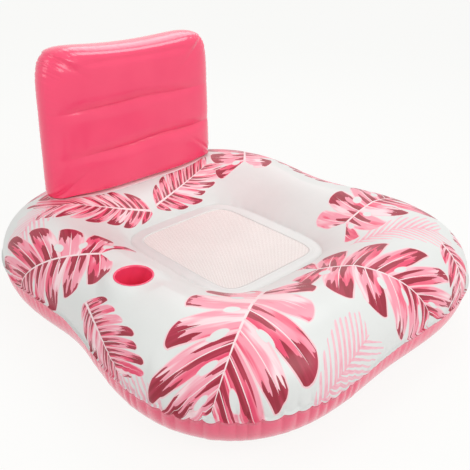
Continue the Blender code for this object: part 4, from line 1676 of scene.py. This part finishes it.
@dataclass
class Backrest:
    """Upright air cushion with two creases drawn in by its webs."""

    vinyl: Material
    weld_vinyl: Material
    ground: Ground
    plane: float = 0.34707
    foot: float = 0.2362
    width: float = 0.529
    top_width: float = 0.505
    height: float = 0.358
    depth: float = 0.115
    seam_band: float = 0.003
    top_corner_power: float = 6.0
    foot_corner_power: float = 30.0
    top_dip: float = 0.017
    ear_rise: float = 0.008
    lean: float = 0.005
    top_roundness: float = 1.8
    foot_roundness: float = 5.0
    edge_fullness: float = 6.0
    belly: float = 0.008
    belly_height: float = 0.085
    creases: tuple[Crease, ...] = (Crease(0.096, 0.045, 1.0), Crease(0.205, -0.020, 0.75))
    rear_fold_share: float = 0.7
    wrinkle_depth: float = 0.0056
    ruffle_depth: float = 0.0011
    channel_depth: float = 0.0030
    pinch_depth: float = 0.011
    settling: float = 0.040
    web_half_width: float = 0.225
    web_reach: float = 0.275
    web_slack: float = 0.0085
    web_thickness: float = 0.0005
    weld_width: float = 0.0032
    weld_thickness: float = 0.0006
    columns: int = 150
    rows: int = 210

    def stations(self, count: int) -> Array:
        """Stations from -1 to 1 that lie closer near both ends."""
        even = np.linspace(-1.0, 1.0, count + 1)
        return even * 0.35 + np.sin(math.pi / 2.0 * even) * 0.65

    def outline(self, across: Array, along: Array) -> tuple[Array, Array]:
        """Lay the cushion's square of -1 to 1 out as the backrest's face.

        Args:
            across, along: Places on the square.

        Returns:
            The points' sideways place and their height above the foot.
        """
        reach = np.maximum(np.abs(across), np.abs(along))
        power = np.where(along > 0.0, self.top_corner_power, self.foot_corner_power)
        square = (np.abs(across) ** power + np.abs(along) ** power) ** (1.0 / power)
        pull = np.where(reach > 0.0, reach / np.maximum(square, 1e-9), 1.0)
        side, rise = across * pull, along * pull
        width = self.width + (self.top_width - self.width) * (rise + 1.0) / 2.0
        upper = np.maximum(rise, 0.0)
        height = self.height / 2.0 * (1.0 + rise) - self.top_dip * upper ** 2 * (1.0 - side ** 2)
        height = height + self.ear_rise * upper ** 3 * np.abs(side) ** 3 - self.lean * upper ** 2 * side
        return side * width / 2.0, height

    def half(self, side: Side) -> Array:
        """Points of the cushion's front or rear half.

        Args:
            side: Which half.

        Returns:
            Array of columns by rows by 3.
        """
        across, along = np.meshgrid(self.stations(self.columns), self.stations(self.rows), indexing="ij")
        x, height = self.outline(across, along)
        reach = np.maximum(np.abs(across), np.abs(along))
        foot_edge = np.maximum(-along, 0.0) ** self.foot_roundness
        top_edge = np.maximum(along, 0.0) ** self.top_roundness
        edge = np.maximum(np.maximum(np.abs(across), top_edge), foot_edge)
        fullness = np.sqrt(np.maximum(1.0 - edge ** self.edge_fullness, 0.0))
        belly = self.belly * bell(height, 0.0, self.belly_height) * (1.0 - across ** 2)
        room = self.depth / 2.0 - self.seam_band + belly
        depth = self.seam_band * np.minimum((1.0 - reach) * 60.0, 1.0) + room * fullness
        fold_share = 1.0 if side is Side.FRONT else self.rear_fold_share
        for index, crease in enumerate(self.creases):
            depth = depth - crease.depth(x, height, index, fold_share) * fullness
        depth = depth + self.wrinkles(across, along, reach) * np.minimum(fullness * 3.0, 1.0)
        x = x * (1.0 - self.pinches(across, along, reach))
        return np.stack([x, self.plane + side.value[1] * depth, self.foot + height], axis=2)

    def ribs(self, turn: Array) -> Array:
        """Uneven ribs from 0 to 1, by the turn about the cushion's middle."""
        return np.abs(np.sin(58.0 * turn + 0.8 * np.sin(37.0 * turn)))

    def wrinkles(self, across: Array, along: Array, reach: Array) -> Array:
        """Gathers that run in from the weld at the upper corners, along the sides and over the top.

        Args:
            across, along: Places on the cushion's square of -1 to 1.
            reach: Share of the way from its middle to the weld.

        Returns:
            The outward height at each point.
        """
        turn = np.arctan2(along, across)
        upper_corners = bell(np.abs(across), 0.98, 0.16) * bell(along, 0.90, 0.22)
        lower_corners = bell(np.abs(across), 0.98, 0.10) * bell(along, -0.93, 0.12)
        fade = smooth_step(0.80, 0.98, reach) * (0.75 + 0.4 * np.sin(23.0 * turn))
        fan = (upper_corners + 0.5 * lower_corners) * (self.ribs(turn) ** 0.6 - 0.6) * fade
        ruffle = smooth_step(0.90, 1.0, reach) * (np.abs(np.sin(41.0 * turn)) ** 0.7 - 0.6)
        channel = bell(along, 0.80, 0.05) * bell(across, 0.0, 0.72, 6.0)
        return self.wrinkle_depth * fan + self.ruffle_depth * ruffle - self.channel_depth * channel

    def pinches(self, across: Array, along: Array, reach: Array) -> Array:
        """Share by which the side's weld draws in at the upper corners, in short sharp notches.

        Args:
            across, along: Places on the cushion's square of -1 to 1.
            reach: Share of the way from its middle to the weld.

        Returns:
            The share at each point.
        """
        corner = bell(np.abs(across), 1.0, 0.12) * bell(along, 0.80, 0.17)
        notch = 1.0 - self.ribs(np.arctan2(along, np.abs(across))) ** 0.5
        return self.pinch_depth * corner * notch * smooth_step(0.84, 0.96, reach)

    def settle(self, points: Array) -> Array:
        """Let the cushion's lower end follow the ring that it stands on.

        Args:
            points: Points of one half, which are changed.

        Returns:
            The same array.
        """
        level = levels(self.ground, points[..., 0], points[..., 1])
        share = bell(points[..., 2], self.foot, self.settling)
        points[..., 2] += (level + 0.0006 - self.foot) * share
        points[..., 2] = np.maximum(points[..., 2], level + 0.0005)
        return points

    def footprint(self, half: Array) -> tuple[Array, Array]:
        """Line along the cushion's foot where it leaves the ring.

        Args:
            half: Points of one half.

        Returns:
            The x and the y of each column.
        """
        low = half[:, :, 2] < self.foot + 0.012
        reach = np.where(low, np.abs(half[:, :, 1] - self.plane), 0.0)
        index = reach.argmax(axis=1)
        rows = np.arange(len(index))
        return half[rows, index, 0], half[rows, index, 1]

    def build(self, valve: "AirValve") -> None:
        """Cushion with its valve's hole, its webs and the weld at its foot.

        Args:
            valve: Valve that its rear face is cut for.
        """
        front, rear = (self.settle(self.half(side)) for side in (Side.FRONT, Side.REAR))
        work = shaped_grid("backrest_cushion", front, Side.FRONT)
        add_shape(work, shaped_grid("backrest_rear_half", rear, Side.REAR))
        bmesh.ops.remove_doubles(work, verts=work.verts, dist=0.0002)
        lone = [corner for corner in work.verts if len(corner.link_edges) == 2]
        bmesh.ops.dissolve_verts(work, verts=lone)
        valve.cut_seat(work)
        cushion = finished_piece("backrest_cushion", work, self.vinyl, "",
                                 ["backrest_front_sheet", "backrest_rear_sheet"])
        self.foot + 0.004
        self.foot + 0.075
        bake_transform(cushion)
        self.build_webs()
        self.build_foot_weld(front, rear)

    def build_webs(self) -> None:
        """Two inner webs between the cushion's faces."""
        across = np.linspace(-self.web_half_width, self.web_half_width, 31)[:, None]
        share = np.linspace(-1.0, 1.0, 9)[None, :]
        reach = (self.depth / 2.0 - self.web_slack) * np.sqrt(1.0 - (np.abs(across) / self.web_reach) ** 6)
        waver = 0.0015 * np.sin(20.0 * across) * (1 - share ** 2)
        for index, crease in enumerate(self.creases, start=1):
            points = grid_of(across, self.plane + share * reach, self.foot + crease.height + waver)
            name = f"backrest_inner_web_{index}"
            piece = finished_piece(name, shaped_grid(name, points, Side.UP), self.vinyl, "backrest",
                                   [f"backrest_web_{index}"])
            thicken(piece, self.web_thickness, offset=0.0)

    def build_foot_weld(self, front: Array, rear: Array) -> None:
        """Thin welded flange that shows as a pale line round the cushion's foot.

        Args:
            front: Points of the cushion's front half.
            rear: Points of its rear half.
        """
        x, front_edge = (line[:, None] for line in self.footprint(front))
        front_edge = front_edge + self.weld_width
        rear_edge = np.maximum(self.footprint(rear)[1][:, None] - self.weld_width, front_edge + 0.002)
        depth = front_edge + (rear_edge - front_edge) * np.linspace(0.0, 1.0, 15)[None, :]
        points = grid_of(x * 0.985, depth, levels(self.ground, x, depth) + 0.0008)
        work = shaped_grid("backrest_foot_weld", points, Side.UP)
        piece = finished_piece("backrest_foot_weld", work, self.weld_vinyl, "ring",
                               ["backrest_foot_strip"])
        thicken(piece, self.weld_thickness)


@dataclass
class AirValve:
    """Air valve of one chamber, pushed flush into its sleeve: flange, stem, cap, tether and flap."""

    chamber: str
    vinyl: Material
    flange_radius: float = 0.016
    flange_thickness: float = 0.0008
    mouth_radius: float = 0.0112
    bead_radii: tuple[float, float, float, float] = (0.0122, 0.0125, 0.0133, 0.0136)
    sleeve_radius: float = 0.0113
    sleeve_bore: float = 0.0105
    sleeve_depth: float = 0.016
    ledge_bore: float = 0.008
    ledge_top: float = -0.0152
    stem_radius: float = 0.005
    stem_bore: float = 0.0034
    base_radius: float = 0.0102
    base_bottom: float = -0.0149
    base_top: float = -0.0137
    stem_top: float = -0.0022
    cap_radius: float = 0.0075
    cap_bottom: float = -0.0019
    cap_top: float = 0.0001
    dish_radii: tuple[float, float] = (0.0042, 0.0050)
    dish_depth: float = 0.0003
    tab_size: Point = (0.0034, 0.0036, 0.0010)
    plug_radius: float = 0.0031
    plug_bottom: float = -0.0089
    collar_radii: tuple[float, float] = (0.0053, 0.0069)
    collar_tops: tuple[float, float] = (-0.0124, -0.0022)
    collar_thickness: float = 0.001
    strap_width: float = 0.003
    strap_thickness: float = 0.0009
    strap_bow: float = 0.0007
    flap_radius: float = 0.0047
    flap_thickness: float = 0.0006
    fine_rounding: float = 0.00012
    rounding: float = 0.00020
    sides: int = 64
    place: Matrix = field(init=False)

    def __post_init__(self) -> None:
        """Find the valve's own frame from its joints."""
        joints = {joint["name"]: joint for joint in frame["joints"]}
        axis = Vector(joints[f"{self.chamber}_stem_slide"]["axis"]).normalized()
        hinge = joints[f"{self.chamber}_flap_hinge"]
        along = Vector(hinge["axis"]).normalized()
        side = along.cross(axis)
        self.place = Matrix((side, along, axis)).transposed().to_4x4()
        self.place.translation = Vector(hinge["pos_m"]) + side * self.flap_radius - axis * self.ledge_top

    def cut_seat(self, work: Shape) -> None:
        """Press the chamber's skin flat under the flange and cut the sleeve's hole."""
        press_flat(work, self.place, 1.15 * self.flange_radius, 2.6 * self.flange_radius, sunk=0.0001)
        cut_round_hole(work, self.place, self.sleeve_radius + 0.0002, 2.0 * self.flange_radius, 48)

    def turned(self, profile: Sequence[tuple[float, float]], closed: bool = True) -> Shape:
        """Turn a section once round the valve's axis.

        Args:
            profile: Radii and heights of the section's corners.
            closed: Whether the last corner joins the first.

        Returns:
            The shape in the valve's own frame.
        """
        work = bmesh.new()
        corners = [work.verts.new((radius, 0.0, height)) for radius, height in profile]
        ends = corners[1:] + corners[:1] if closed else corners[1:]
        edges = [work.edges.new(pair) for pair in zip(corners, ends)]
        bmesh.ops.spin(work, geom=corners + edges, cent=(0.0, 0.0, 0.0), axis=(0.0, 0.0, 1.0),
                       angle=math.tau, steps=self.sides, use_merge=True, use_duplicate=False)
        bmesh.ops.remove_doubles(work, verts=work.verts, dist=MERGE_DISTANCE)
        bmesh.ops.recalc_face_normals(work, faces=work.faces)
        return work

    def block(self, middle: Point, size: Point, cuts: int = 0) -> Shape:
        """Block in the valve's own frame.

        Args:
            middle: Place of its middle.
            size: Its three sides.
            cuts: Number of level cuts, for a block that is bent later.

        Returns:
            The shape.
        """
        work = bmesh.new()
        place = Matrix.Translation(middle) @ Matrix.Diagonal((*size, 1.0))
        bmesh.ops.create_cube(work, size=1.0, matrix=place)
        upright = [edge for edge in work.edges
                   if abs(edge.verts[0].co.z - edge.verts[1].co.z) > 0.9 * size[2]]
        if cuts:
            bmesh.ops.subdivide_edges(work, edges=upright, cuts=cuts, use_grid_fill=True)
        return work

    def finished(self, part: str, shapes: Sequence[Shape], rounding: float, body: str) -> bpy.types.Object:
        """Round the sharp edges of some shapes, put them together and place them as one piece.

        Args:
            part: Name of the part of the valve.
            shapes: Its shapes in the valve's own frame, which are freed.
            rounding: Width of the rounded edges.
            body: Body that it rides on, or an empty text where it rides on none.

        Returns:
            The new object.
        """
        whole = bmesh.new()
        for shape in shapes:
            sharp = [edge for edge in shape.edges if edge.is_manifold and edge.calc_face_angle(0.0) > 0.6]
            bmesh.ops.bevel(shape, geom=sharp, offset=rounding, offset_type="OFFSET", affect="EDGES",
                            segments=2, profile=0.5, material=-1)
            add_shape(whole, shape)
        bmesh.ops.transform(whole, matrix=self.place, verts=whole.verts)
        return finished_piece(f"{self.chamber}_valve_{part}_moulding", whole, self.vinyl, body,
                              [f"{self.chamber}_valve_{part}"])

    def build(self) -> None:
        """Make every piece of the valve."""
        self.build_flange()
        stem = self.turned([(self.stem_bore, self.stem_top), (self.stem_radius, self.stem_top),
                            (self.stem_radius, self.base_top), (self.base_radius, self.base_top),
                            (self.base_radius, self.base_bottom), (self.stem_bore, self.base_bottom)])
        self.finished("stem", [stem], self.rounding, f"{self.chamber}_stem")
        self.build_cap()
        self.build_tether()
        low = self.ledge_top - self.flap_thickness
        flap = self.turned([(0.0, self.ledge_top), (self.flap_radius, self.ledge_top),
                            (self.flap_radius, low), (0.0, low)], closed=False)
        self.finished("flap", [flap], self.fine_rounding, f"{self.chamber}_flap")

    def build_flange(self) -> None:
        """Welded flange with a raised bead, and its sleeve with the ledge that the stem rests on."""
        top, rim, bore, ledge = self.flange_thickness, self.flange_radius, self.sleeve_bore, self.ledge_bore
        start, bead_start, bead_end, end = self.bead_radii
        flange = self.turned([
            (bore, top * 0.7), (self.mouth_radius, top), (start, top), (bead_start, top * 1.4),
            (bead_end, top * 1.4), (end, top), (rim - 0.0006, top), (rim, top * 0.5), (rim, 0.0),
            (self.sleeve_radius, 0.0), (self.sleeve_radius, -self.sleeve_depth),
            (ledge, -self.sleeve_depth), (ledge, self.ledge_top), (bore, self.ledge_top)])
        self.finished("flange", [flange], self.fine_rounding, self.chamber)

    def build_cap(self) -> None:
        """Cap with a dished top, a pull tab and the plug that closes the stem."""
        rim, top, plug = self.cap_radius, self.cap_top, self.plug_radius
        dish, dish_rim = self.dish_radii
        cap = self.turned([
            (0.0, top - self.dish_depth), (dish, top - self.dish_depth), (dish_rim, top + 0.0002),
            (rim - 0.0006, top + 0.0002), (rim, top - 0.0005), (rim, self.cap_bottom),
            (plug, self.cap_bottom), (plug, self.plug_bottom + 0.0006), (plug * 0.8, self.plug_bottom),
            (0.0, self.plug_bottom)], closed=False)
        tab = self.block((rim + 0.0006, 0.0, (top + self.cap_bottom) / 2.0), self.tab_size)
        self.finished("cap", [cap, tab], self.rounding, f"{self.chamber}_cap")

    def build_tether(self) -> None:
        """Tether of a low collar round the stem and a high one under the cap, joined by a bowed strap."""
        inner, outer = self.collar_radii
        collars = [self.turned([(inner, top), (outer, top), (outer, top - self.collar_thickness),
                                (inner, top - self.collar_thickness)]) for top in self.collar_tops]
        low, high = self.collar_tops[0] - self.collar_thickness, self.collar_tops[1]
        strap = self.block((outer + self.strap_thickness * 0.4, 0.0, (low + high) / 2.0),
                           (self.strap_thickness, self.strap_width, high - low), cuts=11)
        for corner in strap.verts:
            share = (corner.co.z - low) / (high - low)
            corner.co.x += self.strap_bow * math.sin(math.pi * share)
        tether = self.finished("tether", [*collars, strap], self.fine_rounding, "")
        start, end = (self.place @ Vector((0.0, 0.0, height)) for height in
                      (self.collar_tops[0] + 0.0002, high - self.collar_thickness - 0.0002))
        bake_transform(tether)


@dataclass(frozen=True)
class Lamp:
    """Square soft lamp: its name, place, side and power in watts."""

    name: str
    place: Point
    size: float
    power: float


@dataclass
class Studio:
    """Plain pale floor, soft lights and the camera at the photo's angle."""

    target_setback: float
    azimuth: float = -0.7657
    elevation: float = 0.5079
    roll: float = 0.0109
    distance: float = 1.6289
    target_height: float = 0.1173
    focal_length: float = 50.22
    shift_x: float = 0.01533
    shift_y: float = 0.04295
    white: Colour = (1.0, 1.0, 0.985)
    surround: float = 0.50
    floor_paint: Colour = (0.80, 0.80, 0.80)
    floor_glow: float = 0.90
    floor_size: float = 12.0
    floor_drop: float = 0.0008
    lamps: tuple[Lamp, ...] = (
        Lamp("key", (0.0, -2.3, 1.9), 1.6, 29.0),
        Lamp("overhead", (1.25, -0.1, 2.45), 0.95, 12.5),
        Lamp("back", (1.15, 1.25, 1.8), 1.15, 8.0),
        Lamp("rim", (-2.0, 0.3, 1.5), 1.4, 12.0),
    )
    lamp_target: Point = (0.0, 0.0, 0.2)

    def build_camera(self) -> None:
        """Camera at the photo's viewing angle."""
        azimuth, level = self.azimuth, math.cos(self.elevation)
        back = Vector((math.sin(azimuth) * level, -math.cos(azimuth) * level, math.sin(self.elevation)))
        right = Vector((math.cos(azimuth), math.sin(azimuth), 0.0))
        up = back.cross(right)
        tilted_right = right * math.cos(self.roll) + up * math.sin(self.roll)
        tilted_up = up * math.cos(self.roll) - right * math.sin(self.roll)
        lens = bpy.data.cameras.new("view")
        lens.lens = self.focal_length
        lens.sensor_width = 36.0
        lens.shift_x = self.shift_x
        lens.shift_y = self.shift_y
        camera = bpy.data.objects.new("view", lens)
        bpy.context.scene.collection.objects.link(camera)
        place = Matrix((tilted_right, tilted_up, back)).transposed().to_4x4()
        place.translation = Vector((0.0, self.target_setback, self.target_height)) + back * self.distance
        camera.matrix_world = place
        bpy.context.scene.camera = camera

    def build_floor(self) -> None:
        """Pale floor that the camera sees as white."""
        work = bmesh.new()
        bmesh.ops.create_grid(work, x_segments=1, y_segments=1, size=self.floor_size)
        bmesh.ops.translate(work, verts=work.verts, vec=(0.0, 0.0, -self.floor_drop))
        mesh = mesh_of("studio_floor", work)
        mesh.materials.append(self.floor_material())
        floor = bpy.data.objects.new("studio_floor", mesh)
        bpy.context.scene.collection.objects.link(floor)

    def floor_material(self) -> Material:
        """White paint that shows the camera its soft shadow and little of the light thrown back on it.

        Returns:
            The material.
        """
        material = bpy.data.materials.new("studio_floor_paint")
        material.use_nodes = True
        tree = material.node_tree
        shader = tree.nodes["Principled BSDF"]
        shader.inputs["Base Color"].default_value = (*self.floor_paint, 1.0)
        shader.inputs["Roughness"].default_value = 0.9
        glow = tree.nodes.new("ShaderNodeEmission")
        glow.inputs["Color"].default_value = (*self.white, 1.0)
        mix = tree.nodes.new("ShaderNodeMixShader")
        tree.links.new((self.seen_directly(tree) * self.floor_glow).socket, mix.inputs[0])
        tree.links.new(shader.outputs[0], mix.inputs[1])
        tree.links.new(glow.outputs[0], mix.inputs[2])
        tree.links.new(mix.outputs[0], tree.nodes["Material Output"].inputs[0])
        return material

    def seen_directly(self, tree: bpy.types.NodeTree) -> Wire:
        """Tell light that goes straight to the camera, or there by gloss or glass, from other light.

        Args:
            tree: Node tree that asks.

        Returns:
            1 for such light, else 0.
        """
        path = tree.nodes.new("ShaderNodeLightPath")
        camera, glossy, through = (Wire(tree, path.outputs[name]) for name in
                                   ("Is Camera Ray", "Is Glossy Ray", "Is Transmission Ray"))
        return camera.most(glossy).most(through)

    def build_lights(self) -> None:
        """Soft lamps and an even white surround."""
        world = bpy.data.worlds.new("surround")
        world.use_nodes = True
        tree = world.node_tree
        background = tree.nodes["Background"]
        background.inputs["Color"].default_value = (*self.white, 1.0)
        strength = self.seen_directly(tree) * (1.0 - self.surround) + self.surround
        tree.links.new(strength.socket, background.inputs["Strength"])
        bpy.context.scene.world = world
        for lamp in self.lamps:
            light = bpy.data.lights.new(lamp.name, "AREA")
            light.energy = lamp.power
            light.size = lamp.size
            holder = bpy.data.objects.new(lamp.name, light)
            aim = Vector(self.lamp_target) - Vector(lamp.place)
            turned = aim.to_track_quat("-Z", "Y").to_matrix().to_4x4()
            holder.matrix_world = Matrix.Translation(lamp.place) @ turned
            bpy.context.scene.collection.objects.link(holder)
        bpy.context.scene.view_settings.view_transform = "Standard"

    def build(self) -> None:
        """Set up the studio."""
        self.build_camera()
        self.build_floor()
        self.build_lights()


def ground_finder(skin: bpy.types.Object, no_ground: float = 0.23) -> Ground:
    """Give a function that finds the height of a skin's top at a place on the floor.

    Args:
        skin: The skin.
        no_ground: Height where nothing is below, about the crest's.

    Returns:
        The function of x and y.
    """
    work = bmesh.new()
    work.from_mesh(skin.data)
    tree = BVHTree.FromBMesh(work)
    work.free()

    def height(x: float, y: float) -> float:
        """Height of the skin at x and y."""
        hit = tree.ray_cast(Vector((x, y, 1.0)), Vector((0.0, 0.0, -1.0)))[0]
        return hit.z if hit is not None else no_ground

    return height


def main() -> None:
    """Build the whole chair and its studio."""
    logging.basicConfig(level=logging.INFO, format="%(message)s")
    Studio(target_setback=RingShape().middle()).build()
    white = LeafPrintVinyl("printed_vinyl").build((FEATHER_LEAVES, SPLIT_LEAVES), PALM_FRONDS)
    pink = GlossVinyl("ring_pink_vinyl", tint=(0.90, 0.105, 0.205)).build()
    hot_pink = GlossVinyl("backrest_pink_vinyl", tint=(1.0, 0.050, 0.160)).build()
    weld_pink = GlossVinyl("weld_pink_vinyl", tint=(0.95, 0.74, 0.77)).build()
    deep_pink = GlossVinyl("cup_pink_vinyl", tint=(0.98, 0.060, 0.165)).build()
    net = WovenNet("seat_net_weave").build()
    clear = ClearVinyl("clear_vinyl").build()
    ring = Ring(white, pink)
    cup = CupHolder(deep_pink)
    ring_valve, backrest_valve = AirValve("ring", clear), AirValve("backrest", clear)
    ground = ground_finder(ring.build_upper(cup, ring_valve))
    ring.build_lower()
    cup.build(ground)
    SeatNet(net, clear).build()
    Backrest(hot_pink, weld_pink, ground).build(backrest_valve)
    for valve in (ring_valve, backrest_valve):
        valve.build()


if __name__ == "__main__":
    main()
